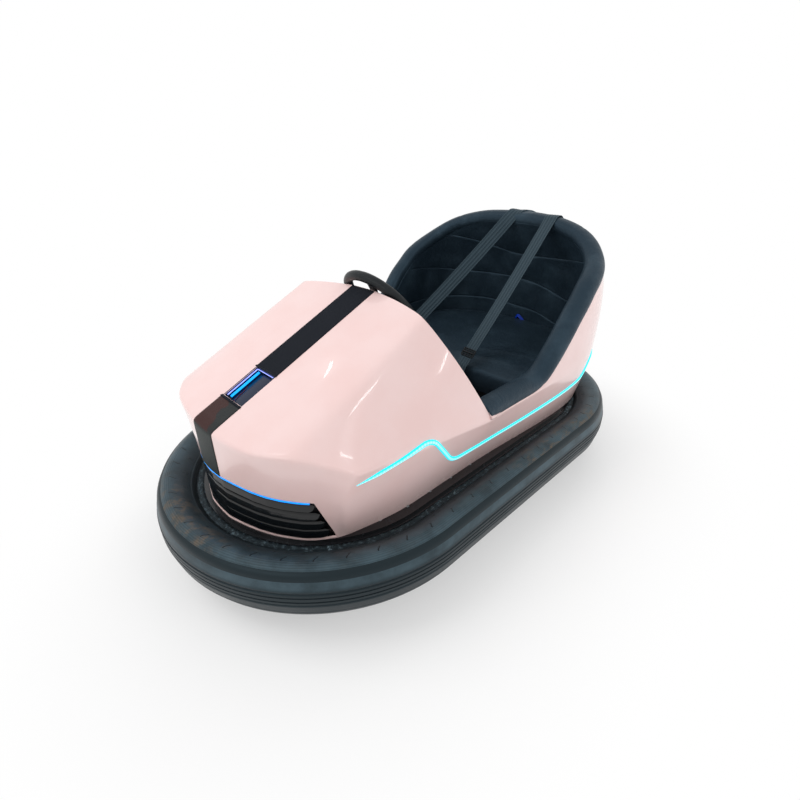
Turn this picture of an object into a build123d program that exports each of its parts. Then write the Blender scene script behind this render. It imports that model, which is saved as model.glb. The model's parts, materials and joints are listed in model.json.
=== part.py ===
"""Bumper car, millimetres: the nose faces -Y, +Z is up and the wheels stand on z = 0."""
import os
from math import atan2, cos, degrees, hypot, radians, sin

from build123d import *

os.makedirs("parts", exist_ok=True)

# Clearances
seat_gap = 0.3
run_gap = 0.3
part_gap = 1.0

# Bumper tyre: a stadium in plan, measured at its tread
car_length = 1950.0
car_width = 1150.0
end_radius = car_width / 2
straight_half = car_length / 2 - end_radius
cutter_half = end_radius + 25.0
tyre_low = 80.0
tyre_high = 258.0
tyre_middle = (tyre_low + tyre_high) / 2

# Rim band that the tyre sits on, and the plate inside it
web_inset = 158.0
web_thick = 5.0
deck_top = 220.0
sheet_thick = 4.0
lip_reach = 10.0
bead_half = 37.0
ledge_inset = 222.0
pan_flange = 26.0
pan_under = 154.0
pan_top = pan_under + sheet_thick

# Moulded body: wall, and the lines that shape the hood
body_wall = 6.0
side_foot = 387.0
nose_foot = -813.0
hood_half_stripe = 56.5
notch_y = -100.0
belt_x = 455.0
belt_z = 427.0
hood_peak_y = -216.0
hood_peak_z = 778.0
nose_crest_y = -811.0
nose_crest_z = 508.0
arch_side_y = -257.0
arch_side_z = 760.0
arch_side_x = 300.0

# Grille in the nose
grille_low = 232.0
grille_high_mid = 371.0
grille_high_end = 360.0
grille_low_half = 328.0
grille_high_half = 316.0
rib_count = 5
rib_high = 13.0
grille_light_high = 6.0

# Light tray let into the hood's stripe
tray_front_y = -713.0
tray_rear_y = -599.0
tray_half = 50.0
tray_deep = 30.0
tray_wall = 2.5

# Tub rim and seat
rim_z = 432.0
roll_radius = 38.0
roll_start_y = -160.0
pad_thick = 48.0
seat_front_y = 196.0
seat_rear_y = 757.0
seat_base_top = 330.0
seat_base_wall = 8.0
cushion_front_z = 415.0
cushion_rear_z = 447.0

# Transport bolt holes in the floor pan
tie_hole_r = 6.5
tie_spacing_x = 300.0
tie_spacing_y = 200.0
tie_mid_y = -30.0

# Front drive unit, steered through a full turn
drive_y = -520.0
drive_wheel_r = 85.0
drive_wheel_wide = 60.0
drive_bore_r = 12.0
pan_hole_r = 165.0
bearing_high = 22.0
bearing_inner_r = 168.0
bearing_outer_r = 192.0
table_r = 188.0
table_thick = 10.0
fork_gap = 10.0
fork_thick = 8.0
motor_r = 55.0
motor_long = 92.0

# Steering
wheel_centre_y = -145.0
wheel_centre_z = 711.0
column_rise = 38.0
steer_ring_r = 135.0
steer_tube_r = 17.0
column_r = 12.5
gearbox_half = 45.0
shaft_entry = 20.0
column_entry = 26.0
stay_y = -330.0

# Rear wheels on their fixed axle
rear_wheel_y = 560.0
rear_wheel_x = 290.0
rear_wheel_r = 68.0
rear_wheel_wide = 45.0
rear_axle_r = 10.0
rear_hub_r = 46.0

# Harness
strap_wide = 45.0
strap_thick = 3.0


def save(piece, name):
    """Label a finished piece and write it under its node name."""
    piece.label = name
    export_step(piece, f"parts/{name}.step")


def stadium_path():
    """Return the closed plan outline at the tread, starting on the right side."""
    with BuildLine() as path:
        Line((end_radius, 0), (end_radius, straight_half))
        ThreePointArc((end_radius, straight_half), (0, car_length / 2), (-end_radius, straight_half))
        Line((-end_radius, straight_half), (-end_radius, -straight_half))
        ThreePointArc((-end_radius, -straight_half), (0, -car_length / 2), (end_radius, -straight_half))
        Line((end_radius, -straight_half), (end_radius, 0))
    return path.wire()


def stadium_plate(inset, low, high):
    """Return a plate whose edge lies the given inset inside the tread."""
    with BuildPart() as plate:
        with BuildSketch(Plane.XY.offset(low)):
            Rectangle(2 * (end_radius - inset), 2 * straight_half)
            with Locations((0, straight_half), (0, -straight_half)):
                Circle(end_radius - inset)
        extrude(amount=high - low)
    return plate.part


def side_slab(points, half_wide):
    """Return a slab across the car from a side profile of (y, z) points."""
    with BuildPart() as slab:
        with BuildSketch(Plane.YZ):
            with BuildLine():
                Polyline(points, close=True)
            make_face()
        extrude(amount=half_wide, both=True)
    return slab.part


def front_slab(points, y_from, y_to):
    """Return a slab along the car from a front profile of (x, z) points."""
    with BuildPart() as slab:
        with BuildSketch(Plane.XZ.offset(-y_from)):
            with BuildLine():
                Polyline(points, close=True)
            make_face()
        extrude(amount=y_from - y_to)
    return slab.part


def section_at_rest(points):
    """Sweep a closed section of (inset, z) points round the stadium."""
    with BuildPart() as band:
        with BuildSketch(Plane.XZ):
            with BuildLine():
                Polyline([(end_radius - inset, high) for inset, high in points], close=True)
            make_face()
        sweep(path=stadium_path())
    return band.part


# Bumper tyre: half of its section from the tread's middle to the bead, (inset, height above middle)
tyre_outer_half = [(0, 22), (1, 52), (5, 70), (14, 83), (34, 89), (62, 85), (90, 72), (112, 56),
                   (122, 43), (130, 40), (138, 42), (147, bead_half), (web_inset - seat_gap, bead_half)]
tyre_inner_half = [(web_inset - seat_gap, 24), (130, 27), (108, 44), (84, 63), (58, 76), (34, 79),
                   (20, 74), (12, 60), (9, 20)]


def tyre_section():
    """Return the closed (inset, z) outline of the open tyre casing."""
    upper = [(d, tyre_middle + h) for d, h in tyre_outer_half]
    upper += [(d, tyre_middle + h) for d, h in tyre_inner_half]
    lower = [(d, 2 * tyre_middle - z) for d, z in reversed(upper)]
    return upper + lower


save(section_at_rest(tyre_section()), "bumper_tyre")

# Rim band: web, a lip over and under the beads, the ledge that carries the body, the pan's flange
web_in = web_inset + web_thick
lip_high = tyre_middle + bead_half + seat_gap
lip_low = tyre_middle - bead_half - seat_gap
ledge_low = deck_top - sheet_thick
rim_section = [
    (web_inset, deck_top), (ledge_inset, deck_top), (ledge_inset, ledge_low), (web_in, ledge_low),
    (web_in, pan_under), (web_in + pan_flange, pan_under), (web_in + pan_flange, pan_under - sheet_thick),
    (web_in, pan_under - sheet_thick), (web_in, lip_low - sheet_thick),
    (web_inset - lip_reach, lip_low - sheet_thick), (web_inset - lip_reach, lip_low),
    (web_inset, lip_low), (web_inset, lip_high), (web_inset - lip_reach, lip_high),
    (web_inset - lip_reach, lip_high + sheet_thick), (web_inset, lip_high + sheet_thick),
]
save(section_at_rest(rim_section), "bumper_rim")

# Hood sections: columns are y, crest z, crease x, crease z, belt x, belt z, shoulder bulge
hood_sections = [
    (-860.0, 485.8, 321.0, 455.0, 432.0, 418.0, 4.0),
    (-731.0, 544.3, 317.0, 520.0, 424.7, 487.7, 4.0),
    (-60.0, 848.8, 293.0, 845.6, 456.9, 423.2, 20.0),
]
side_lean = (belt_x - side_foot) / (belt_z - deck_top)
section_foot_z = deck_top - 20.0
crease_radius = 45.0


def hood_solid(grow):
    """Return the hood's lengthwise loft, grown outwards (or inwards when negative)."""
    foot_x = side_foot - side_lean * (deck_top - section_foot_z) + grow
    with BuildPart() as body:
        for y, crest, crease_x, crease_z, belt_out, belt_up, bulge in hood_sections:
            crease = (crease_x + 0.5 * grow, crease_z + grow)
            belt = (belt_out + grow, belt_up + 0.4 * grow)
            run = hypot(belt[0] - crease[0], belt[1] - crease[1])
            out = ((crease[1] - belt[1]) / run, (belt[0] - crease[0]) / run)
            middle = ((crease[0] + belt[0]) / 2 + out[0] * bulge, (crease[1] + belt[1]) / 2 + out[1] * bulge)
            with BuildSketch(Plane.XZ.offset(-y)) as section:
                with BuildLine():
                    ThreePointArc((-crease[0], crease[1]), (0, crest + grow), crease)
                    ThreePointArc(crease, middle, belt)
                    Line(belt, (foot_x, section_foot_z))
                    Line((foot_x, section_foot_z), (-foot_x, section_foot_z))
                    Line((-foot_x, section_foot_z), (-belt[0], belt[1]))
                    ThreePointArc((-belt[0], belt[1]), (-middle[0], middle[1]), (-crease[0], crease[1]))
                make_face()
                creases = section.vertices().sort_by(Axis.Y)[-2:]
                fillet(creases, crease_radius + grow)
        loft(ruled=True)
    return body.part


# Nose plan: columns are half of the outline at the foot and at the belt, (x, y) from the middle out
nose_levels = [(deck_top, [(0, nose_foot), (81, -805), (160, -782), (257, -728), (330, -657), (387, -440)]),
               (480.0, [(0, nose_crest_y), (107, -805), (212, -789), (340, -729), (430, -620), (453, -440)])]
nose_top_z = 820.0
nose_back_y = 0.0


def nose_solid(grow):
    """Return the plan loft that rounds the nose and tapers the front corners."""
    (low_z, low), (high_z, high) = nose_levels
    with BuildPart() as nose:
        for level in (deck_top, nose_top_z):
            share = (level - low_z) / (high_z - low_z)
            half = []
            for (x0, y0), (x1, y1) in zip(low, high):
                x, y = x0 + share * (x1 - x0), y0 + share * (y1 - y0)
                ray = atan2(y + 400, x) if y < -400 else 0
                half.append((x + grow * cos(ray) if x else 0.0, y + grow * sin(ray)))
            far = [(-x, y) for x, y in half]
            back_x = half[5][0] + 20
            with BuildSketch(Plane.XY.offset(level)):
                with BuildLine():
                    ThreePointArc(far[2], half[0], half[2])
                    ThreePointArc(half[2], half[3], half[4])
                    Line(half[4], half[5])
                    Line(half[5], (back_x, nose_back_y))
                    Line((back_x, nose_back_y), (-back_x, nose_back_y))
                    Line((-back_x, nose_back_y), far[5])
                    Line(far[5], far[4])
                    ThreePointArc(far[4], far[3], far[2])
                make_face()
        loft(ruled=True)
    return nose.part


def arch_cutter():
    """Return what is cut away behind the hood's rear arch and the split line below it."""
    high = 900.0
    slope = (notch_y - arch_side_y) / (arch_side_z - belt_z)
    behind = side_slab([(notch_y, deck_top - 30), (notch_y, belt_z),
                        (notch_y - slope * (high - belt_z), high), (100, high), (100, deck_top - 30)], cutter_half)
    visor_low = arch_side_z - 60
    with BuildPart() as visor:
        with BuildSketch(Plane.XY.offset(visor_low)):
            with BuildLine():
                ThreePointArc((-arch_side_x, arch_side_y), (0, hood_peak_y), (arch_side_x, arch_side_y))
                Polyline((arch_side_x, arch_side_y), (arch_side_x, arch_side_y - 200),
                         (-arch_side_x, arch_side_y - 200), (-arch_side_x, arch_side_y))
            make_face()
        extrude(amount=high - visor_low)
    return behind - visor.part


arch_tool = arch_cutter()
cowl_outer = (hood_solid(0) & nose_solid(0)) - arch_tool
cowl_inner = hood_solid(-body_wall) & nose_solid(-body_wall)


def grille_outline(margin):
    """Return the grille's front profile of (x, z) points, grown by a margin."""
    low, high = grille_low - margin, grille_high_end + margin
    return [(-grille_low_half - margin, low), (grille_low_half + margin, low),
            (grille_high_half + margin, high), (grille_high_half * 0.5, grille_high_mid - 2 + margin),
            (0, grille_high_mid + margin), (-grille_high_half * 0.5, grille_high_mid - 2 + margin),
            (-grille_high_half - margin, high)]


grille_back_y = -600.0
grille_window = front_slab(grille_outline(0), grille_back_y, -880)

# Light tray: a box square to the hood's slope
hood_slope = (hood_peak_z - nose_crest_z) / (hood_peak_y - nose_crest_y)
slope_angle = degrees(atan2(hood_slope, 1))
tray_mid_y = (tray_front_y + tray_rear_y) / 2
tray_mid_z = nose_crest_z + hood_slope * (tray_mid_y - nose_crest_y)
tray_long = (tray_rear_y - tray_front_y) / cos(radians(slope_angle))
tray_plane = Plane((0, tray_mid_y, tray_mid_z), x_dir=(1, 0, 0), z_dir=(0, -sin(radians(slope_angle)),
                                                                    cos(radians(slope_angle))))


def tray_block(margin, top, bottom):
    """Return a block square to the slope, grown sideways by a margin."""
    with BuildPart() as block:
        with BuildSketch(tray_plane.offset(bottom)):
            Rectangle(2 * (tray_half + margin), tray_long + 2 * margin)
        extrude(amount=top - bottom)
    return block.part


with BuildPart() as front_cowl:
    add(cowl_outer)
    add(cowl_inner, mode=Mode.SUBTRACT)
    add(grille_window, mode=Mode.SUBTRACT)
    add(tray_block(0, 20, -40), mode=Mode.SUBTRACT)
save(front_cowl.part, "front_cowl")

with BuildPart() as light_tray:
    add(tray_block(-seat_gap, -1, -tray_deep))
    add(tray_block(-seat_gap - tray_wall, 5, -tray_deep + tray_wall), mode=Mode.SUBTRACT)
save(light_tray.part, "light_tray")

with BuildPart() as tray_light:
    with BuildSketch(tray_plane.offset(-12)):
        with Locations((-tray_half + tray_wall + 6, 0)):
            Rectangle(6, tray_long - 16)
    extrude(amount=6)
    with BuildSketch(tray_plane.offset(-tray_deep + tray_wall)):
        with Locations((-tray_half + tray_wall + 6, 0)):
            Rectangle(4, tray_long - 40)
    extrude(amount=tray_deep - tray_wall - 12)
save(tray_light.part, "tray_light")

# Grille: a backing that follows the nose, with ribs standing out through the window
grille_front = 6.5
grille_deep = 4.0
with BuildPart() as nose_grille:
    add(nose_solid(-grille_front) - nose_solid(-grille_front - grille_deep))
    add(front_slab(grille_outline(8), grille_back_y, -880), mode=Mode.INTERSECT)
rib_pitch = (grille_high_end - grille_low) / rib_count
rib_ring = nose_solid(-2) - nose_solid(-grille_front - 1)
for index in range(rib_count):
    rib_low = grille_low + 4 + index * rib_pitch
    share = index / rib_count
    half = grille_low_half - 4 - share * (grille_low_half - grille_high_half)
    rib = rib_ring & front_slab([(-half, rib_low), (half, rib_low), (half - 2, rib_low + rib_high),
                                 (-half + 2, rib_low + rib_high)], grille_back_y, -880)
    nose_grille.part = nose_grille.part + rib
save(nose_grille.part, "nose_grille")

light_ring = nose_solid(0) - nose_solid(-grille_front + seat_gap)
light_line = grille_outline(-part_gap)
light_low = [(x, z - grille_light_high) for x, z in reversed(light_line[2:7])]
save(light_ring & front_slab(light_line[2:7] + light_low, grille_back_y, -880), "grille_light")

# Stripe pieces lie on the hood's skin
stripe_thick = 1.5
skin_seat = hood_solid(seat_gap) & nose_solid(seat_gap)
stripe_skin = ((hood_solid(stripe_thick) & nose_solid(stripe_thick)) - arch_tool) - skin_seat


def stripe_block(y_from, y_to, low, high):
    """Return the block that holds one length of the stripe."""
    with BuildPart() as block:
        with BuildSketch(Plane.XY.offset(low)):
            with Locations((0, (y_from + y_to) / 2)):
                Rectangle(2 * hood_half_stripe, y_to - y_from)
        extrude(amount=high - low)
    return block.part


save(stripe_skin & stripe_block(tray_rear_y + part_gap, hood_peak_y + 5, 500, 900), "hood_stripe")
save(stripe_skin & stripe_block(-860, tray_front_y - part_gap, grille_high_mid + part_gap, 900), "nose_stripe")

# Rear tub: columns are z, half width at the front, half width and y where the corner starts,
# x and y where the corner ends, y of the back
tub_levels = [
    (deck_top, side_foot, 406.0, 500.0, 245.0, 783.0, 815.0),
    (320.0, 423.0, 438.0, 505.0, 264.0, 800.0, 850.0),
    (belt_z, belt_x, 457.0, 510.0, 274.0, 818.0, 872.0),
    (615.0, 463.0, 467.0, 510.0, 280.0, 809.0, 862.0),
    (770.0, 455.0, 458.0, 500.0, 275.0, 768.0, 812.0),
    (905.0, 410.0, 414.0, 450.0, 246.0, 676.0, 706.0),
]
# Rim: side profile of its outer edge, (y, z), with a bend radius at each inner point
rim_line = [(notch_y - 20, rim_z), (200.0, rim_z), (330.0, 628.0), (500.0, 785.0), (705.0, 903.0), (760.0, 935.0)]
rim_bends = [60.0, 240.0, 300.0, 300.0]
# Padded liner inside the tub: the same columns as the tub's
liner_levels = [
    (seat_base_top, 383.0, 383.0, 450.0, 235.0, 702.0, 747.0),
    (cushion_rear_z, 400.0, 400.0, 470.0, 245.0, 714.0, seat_rear_y),
    (640.0, 405.0, 405.0, 470.0, 250.0, 700.0, 742.0),
    (780.0, 397.0, 397.0, 450.0, 248.0, 648.0, 692.0),
    (905.0, 370.0, 370.0, 420.0, 235.0, 580.0, 619.0),
]


def plan_loft(levels, front_y, inset):
    """Return the loft over plan outlines open to the front, drawn in by an inset."""
    with BuildPart() as tub:
        for level, front_x, side_x, side_y, corner_x, corner_y, back_y in levels:
            front = (front_x - inset, front_y)
            side = (side_x - inset, side_y)
            corner = (corner_x, corner_y - inset)
            heading = (side[0] - front[0], side[1] - front[1])
            with BuildSketch(Plane.XY.offset(level)):
                with BuildLine():
                    Line(front, side)
                    TangentArc(side, corner, tangent=heading)
                    ThreePointArc(corner, (0, back_y - inset), (-corner[0], corner[1]))
                    TangentArc((-side[0], side[1]), (-corner[0], corner[1]), tangent=(-heading[0], heading[1]))
                    Line((-side[0], side[1]), (-front[0], front[1]))
                    Line((-front[0], front[1]), front)
                make_face()
        loft(ruled=True)
    return tub.part


def tub_solid(inset):
    """Return the tub's closed outer form, drawn in by an inset."""
    return plan_loft(tub_levels, notch_y, inset)


# Bolster roll round the rim: points of its middle line from the right front end to the crown
roll_half = [(414.0, roll_start_y, 452.0), (414.0, 188.0, 452.0), (436.0, 395.0, 704.0), (405.0, 562.0, 820.0),
             (268.0, 640.0, 893.0)]
roll_crown = (0.0, 656.0, 914.0)
roll_bends = [110.0, 240.0, 150.0, 220.0]
crown_bend = 1200.0


def roll_tube(radius):
    """Return the roll's tube of a given radius."""
    points = roll_half + [roll_crown] + [(-x, y, z) for x, y, z in reversed(roll_half)]
    with BuildPart() as tube:
        with BuildLine():
            FilletPolyline(*points, radius=roll_bends + [crown_bend] + roll_bends[::-1])
        with BuildSketch(Plane(points[0], x_dir=(1, 0, 0), z_dir=(0, 1, 0))):
            Circle(radius)
        sweep()
    return tube.part


with BuildPart() as rim_cutter:
    with BuildSketch(Plane.YZ):
        with BuildLine():
            FilletPolyline(*rim_line, radius=rim_bends)
            Polyline(rim_line[-1], (rim_line[0][0], rim_line[-1][1]), rim_line[0])
        make_face()
    extrude(amount=cutter_half, both=True)
roll_seat = roll_tube(roll_radius + seat_gap)
with BuildPart() as rear_tub:
    add(tub_solid(0))
    add(tub_solid(body_wall), mode=Mode.SUBTRACT)
    add(rim_cutter.part, mode=Mode.SUBTRACT)
    add(roll_seat, mode=Mode.SUBTRACT)
save(rear_tub.part, "rear_tub")

# Side lights: a strip laid on the body's flank, columns are y, z of its middle line
light_route = [(-612.0, 432.0), (-372.0, 464.0), (-335.0, 458.0), (-262.0, 336.0), (-225.0, 317.0),
               (62.0, 316.0), (360.0, 334.0), (545.0, 348.0), (600.0, 388.0), (634.0, 444.0)]
side_light_wide = 11.0
side_light_proud = 2.5
light_outer = ((hood_solid(side_light_proud) & nose_solid(side_light_proud)) - arch_tool) - skin_seat
light_rear = tub_solid(-side_light_proud) - tub_solid(-seat_gap)
with BuildPart() as light_band:
    with BuildSketch(Plane.YZ.offset(300)):
        with BuildLine():
            offset(Polyline(light_route), amount=side_light_wide / 2, side=Side.BOTH)
        make_face()
    extrude(amount=200)
side_light_left = (light_outer & light_band.part) + (light_rear & light_band.part)
save(side_light_left, "side_light_left")
save(mirror(side_light_left, about=Plane.YZ), "side_light_right")

# Floor pan inside the rim band, with the drive unit's hole and the transport bolt holes
with BuildPart() as floor_pan:
    add(stadium_plate(web_in + seat_gap, pan_under, pan_top))
    with BuildSketch(Plane.XY.offset(pan_under)):
        with Locations((0, drive_y)):
            Circle(pan_hole_r)
        with Locations((0, tie_mid_y)):
            with GridLocations(tie_spacing_x, tie_spacing_y, 2, 2):
                Circle(tie_hole_r)
    extrude(amount=sheet_thick, mode=Mode.SUBTRACT)
save(floor_pan.part, "floor_pan")

# Frame under the pan: two rails and two cross members of square tube
rail_half = 15.0
rail_x = 235.0
with BuildPart() as chassis_frame:
    with BuildSketch(Plane.XY.offset(pan_under - 2 * rail_half)):
        with Locations((-rail_x, 40), (rail_x, 40)):
            Rectangle(2 * rail_half, 1160)
        with Locations((0, -280), (0, 120), (0, 440)):
            Rectangle(2 * rail_x, 2 * rail_half)
    extrude(amount=2 * rail_half)
save(chassis_frame.part, "chassis_frame")

# Rear axle: a bar on four hanging cheeks, with an end washer outside each wheel
cheek_gap = 6.0
cheek_thick = 8.0
axle_end = rear_wheel_x + rear_wheel_wide / 2 + cheek_gap + cheek_thick + 4
with BuildPart() as rear_axle:
    with BuildSketch(Plane.YZ.offset(-axle_end)):
        with Locations((rear_wheel_y, rear_wheel_r)):
            Circle(rear_axle_r)
    extrude(amount=2 * axle_end)
    for side in (-1, 1):
        for face in (-1, 1):
            middle = side * rear_wheel_x + face * (rear_wheel_wide / 2 + cheek_gap + cheek_thick / 2)
            with BuildSketch(Plane.YZ.offset(middle)):
                with BuildLine():
                    Polyline((rear_wheel_y - 38, pan_under), (rear_wheel_y - 20, rear_wheel_r - 18),
                             (rear_wheel_y + 20, rear_wheel_r - 18), (rear_wheel_y + 38, pan_under), close=True)
                make_face()
            extrude(amount=cheek_thick / 2, both=True)
save(rear_axle.part, "rear_axle")


def road_wheel(x, y, radius, wide, hub_radius, bore_radius, tyre_name, rim_name):
    """Write a solid tyre and its hub, on an axis along X at the wheel's own height."""
    with BuildPart() as tyre:
        with BuildSketch(Plane.YZ.offset(x)):
            with Locations((y, radius)):
                Circle(radius)
                Circle(hub_radius, mode=Mode.SUBTRACT)
        extrude(amount=wide / 2, both=True)
        rims = tyre.edges().filter_by(GeomType.CIRCLE).group_by(SortBy.RADIUS)[-1]
        chamfer(rims, 4)
    save(tyre.part, tyre_name)
    with BuildPart() as hub:
        with BuildSketch(Plane.YZ.offset(x)):
            with Locations((y, radius)):
                Circle(hub_radius)
                Circle(bore_radius, mode=Mode.SUBTRACT)
        extrude(amount=wide / 2 - 2, both=True)
        for side in (-1, 1):
            with BuildSketch(Plane.YZ.offset(x + side * (wide / 2 - 2))):
                with Locations((y, radius)):
                    Circle(hub_radius - 8)
                    Circle(bore_radius + 10, mode=Mode.SUBTRACT)
            extrude(amount=-side * wide / 4, mode=Mode.SUBTRACT)
    save(hub.part, rim_name)


for side, word in ((1, "left"), (-1, "right")):
    road_wheel(side * rear_wheel_x, rear_wheel_y, rear_wheel_r, rear_wheel_wide, rear_hub_r,
               rear_axle_r + run_gap, f"rear_tyre_{word}", f"rear_hub_{word}")
road_wheel(0, drive_y, drive_wheel_r, drive_wheel_wide, 58, drive_bore_r + run_gap, "drive_tyre", "drive_hub")

# Column line, and the heights that it gives the gearbox over the drive unit
column_dir = (0, cos(radians(column_rise)), sin(radians(column_rise)))


def on_column(y):
    """Return the height of the column's middle line at a given y."""
    return wheel_centre_z + (y - wheel_centre_y) * column_dir[2] / column_dir[1]


gearbox_z = on_column(drive_y)
bridge_top = gearbox_z - gearbox_half
shaft_top = bridge_top + shaft_entry

# Swivel bearing on the pan and the turning drive unit in it
with BuildPart() as swivel_bearing:
    with BuildSketch(Plane.XY.offset(pan_top)):
        with Locations((0, drive_y)):
            Circle(bearing_outer_r)
            Circle(bearing_inner_r, mode=Mode.SUBTRACT)
    extrude(amount=bearing_high)
save(swivel_bearing.part, "swivel_bearing")

table_low = pan_top + bearing_high + run_gap
fork_in = drive_wheel_wide / 2 + fork_gap
with BuildPart() as drive_fork:
    with BuildSketch(Plane.XY.offset(table_low)):
        with Locations((0, drive_y)):
            Circle(table_r)
    extrude(amount=table_thick)
    for side in (-1, 1):
        with BuildSketch(Plane.YZ.offset(side * (fork_in + fork_thick / 2))):
            with BuildLine():
                Polyline((drive_y - 60, table_low), (drive_y - 32, drive_wheel_r - 34),
                         (drive_y + 32, drive_wheel_r - 34), (drive_y + 60, table_low), close=True)
            make_face()
        extrude(amount=fork_thick / 2, both=True)
    with BuildSketch(Plane.YZ):
        with Locations((drive_y, drive_wheel_r)):
            Circle(drive_bore_r)
    extrude(amount=fork_in, both=True)
    with BuildSketch(Plane.XY.offset(table_low + table_thick)):
        with Locations((0, drive_y)):
            Circle(column_r)
    extrude(amount=shaft_top - table_low - table_thick)
save(drive_fork.part, "drive_fork")

with BuildPart() as drive_motor:
    with BuildSketch(Plane.YZ.offset(fork_in + fork_thick)):
        with Locations((drive_y, drive_wheel_r)):
            Circle(motor_r)
    extrude(amount=motor_long)
save(drive_motor.part, "drive_motor")

# Steering: gearbox on a bridge over the drive unit, column up to the wheel, stay near its top
bridge_half = table_r + 24
bridge_wide = 70.0
bridge_thick = 6.0
with BuildPart() as steering_bridge:
    with BuildSketch(Plane.XZ.offset(-drive_y)):
        with BuildLine():
            Polyline((-bridge_half, pan_top), (-bridge_half, bridge_top - 60), (-gearbox_half - 20, bridge_top),
                     (gearbox_half + 20, bridge_top), (bridge_half, bridge_top - 60), (bridge_half, pan_top),
                     (bridge_half - bridge_thick, pan_top), (bridge_half - bridge_thick, bridge_top - 62),
                     (gearbox_half + 18, bridge_top - bridge_thick), (-gearbox_half - 18, bridge_top - bridge_thick),
                     (-bridge_half + bridge_thick, bridge_top - 62), (-bridge_half + bridge_thick, pan_top),
                     close=True)
        make_face()
    extrude(amount=bridge_wide / 2, both=True)
    with BuildSketch(Plane.XY.offset(bridge_top - 2 * bridge_thick)):
        with Locations((0, drive_y)):
            Circle(column_r + 5)
    extrude(amount=3 * bridge_thick, mode=Mode.SUBTRACT)
save(steering_bridge.part, "steering_bridge")

with BuildPart() as steering_gearbox:
    with BuildSketch(Plane.XY.offset(bridge_top)):
        with Locations((0, drive_y)):
            Rectangle(2 * gearbox_half, 2 * gearbox_half)
    extrude(amount=2 * gearbox_half)
    fillet(steering_gearbox.edges(), 8)
    with BuildSketch(Plane.XY.offset(bridge_top)):
        with Locations((0, drive_y)):
            Circle(column_r + run_gap)
    extrude(amount=shaft_entry + part_gap, mode=Mode.SUBTRACT)
    with BuildSketch(Plane((0, drive_y, gearbox_z), x_dir=(1, 0, 0), z_dir=column_dir).offset(
            column_entry - part_gap)):
        Circle(column_r + run_gap)
    extrude(amount=2 * gearbox_half, mode=Mode.SUBTRACT)
save(steering_gearbox.part, "steering_gearbox")

wheel_plane = Plane((0, wheel_centre_y, wheel_centre_z), x_dir=(1, 0, 0), z_dir=column_dir)
column_long = hypot(drive_y - wheel_centre_y, gearbox_z - wheel_centre_z) - column_entry
with BuildPart() as steering_column:
    with BuildSketch(wheel_plane.offset(-column_long)):
        Circle(column_r)
    extrude(amount=column_long - 22)
save(steering_column.part, "steering_column")

hub_r = 34.0
hub_high = 22.0
spoke_wide = 30.0
spoke_thick = 7.0
with BuildPart() as steering_wheel:
    with BuildSketch(wheel_plane.offset(-hub_high)):
        Circle(hub_r)
    extrude(amount=hub_high + 6)
    with BuildSketch(wheel_plane.offset(-spoke_thick)):
        with PolarLocations((hub_r + steer_ring_r) / 2, 3, start_angle=-90):
            Rectangle(steer_ring_r - hub_r + 20, spoke_wide)
    extrude(amount=spoke_thick)
    ring_plane = Plane(wheel_plane.from_local_coords((steer_ring_r, 0, 0)), x_dir=(1, 0, 0),
                       z_dir=wheel_plane.y_dir)
    with BuildSketch(ring_plane):
        Circle(steer_tube_r)
    revolve(axis=Axis(wheel_plane.origin, wheel_plane.z_dir), revolution_arc=360)
save(steering_wheel.part, "steering_wheel")

# Stay: a tube hoop from the pan that holds the column's upper bearing
stay_tube_r = 14.0
stay_x = 330.0
bearing_block = 26.0
stay_top = on_column(stay_y) - bearing_block - stay_tube_r
with BuildPart() as column_stay:
    with BuildLine():
        FilletPolyline((-stay_x, stay_y, pan_top), (-stay_x, stay_y, 340), (-150, stay_y, stay_top),
                       (150, stay_y, stay_top), (stay_x, stay_y, 340), (stay_x, stay_y, pan_top), radius=60)
    with BuildSketch(Plane((-stay_x, stay_y, pan_top), x_dir=(1, 0, 0), z_dir=(0, 0, 1))):
        Circle(stay_tube_r)
    sweep()
    with BuildSketch(Plane(wheel_plane.origin + Vector(*column_dir) * ((stay_y - wheel_centre_y) / column_dir[1]),
                           x_dir=(1, 0, 0), z_dir=column_dir)):
        Rectangle(2 * bearing_block, 2 * bearing_block + 10)
        Circle(column_r + run_gap, mode=Mode.SUBTRACT)
    extrude(amount=18, both=True)
save(column_stay.part, "column_stay")

# Accelerator pedal, right foot
pedal_x = -215.0
pedal_y = -300.0
with BuildPart() as accelerator_pedal:
    with BuildSketch(Plane.YZ.offset(pedal_x)):
        with BuildLine():
            Polyline((pedal_y + 60, pan_top), (pedal_y + 60, pan_top + 8), (pedal_y + 44, pan_top + 10),
                     (pedal_y - 70, pan_top + 92), (pedal_y - 76, pan_top + 84), (pedal_y - 20, pan_top + 42),
                     (pedal_y - 40, pan_top + 6), (pedal_y - 60, pan_top + 6), (pedal_y - 60, pan_top),
                     close=True)
        make_face()
    extrude(amount=40, both=True)
save(accelerator_pedal.part, "accelerator_pedal")

# Battery under the seat
battery_long, battery_wide, battery_high = 300.0, 400.0, 138.0
with BuildPart() as battery_pack:
    with BuildSketch(Plane.XY.offset(pan_top)):
        with Locations((0, 430)):
            Rectangle(battery_wide, battery_long)
    extrude(amount=battery_high)
    fillet(battery_pack.edges().filter_by(Axis.Z), 8)
save(battery_pack.part, "battery_pack")

# Seat base: a moulded box over the battery, inside the ledge
base_half = 340.0
base_rear_y = 660.0


def base_solid(draw):
    """Return the seat base's block, drawn in by a wall."""
    block = side_slab([(seat_front_y + draw, pan_top), (seat_front_y + draw, seat_base_top - draw),
                       (base_rear_y - draw, seat_base_top - draw), (base_rear_y - draw, pan_top)],
                      base_half - draw)
    return block & stadium_plate(ledge_inset + seat_gap + draw, pan_top, seat_base_top)


save(base_solid(0) - base_solid(seat_base_wall), "seat_base")

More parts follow.
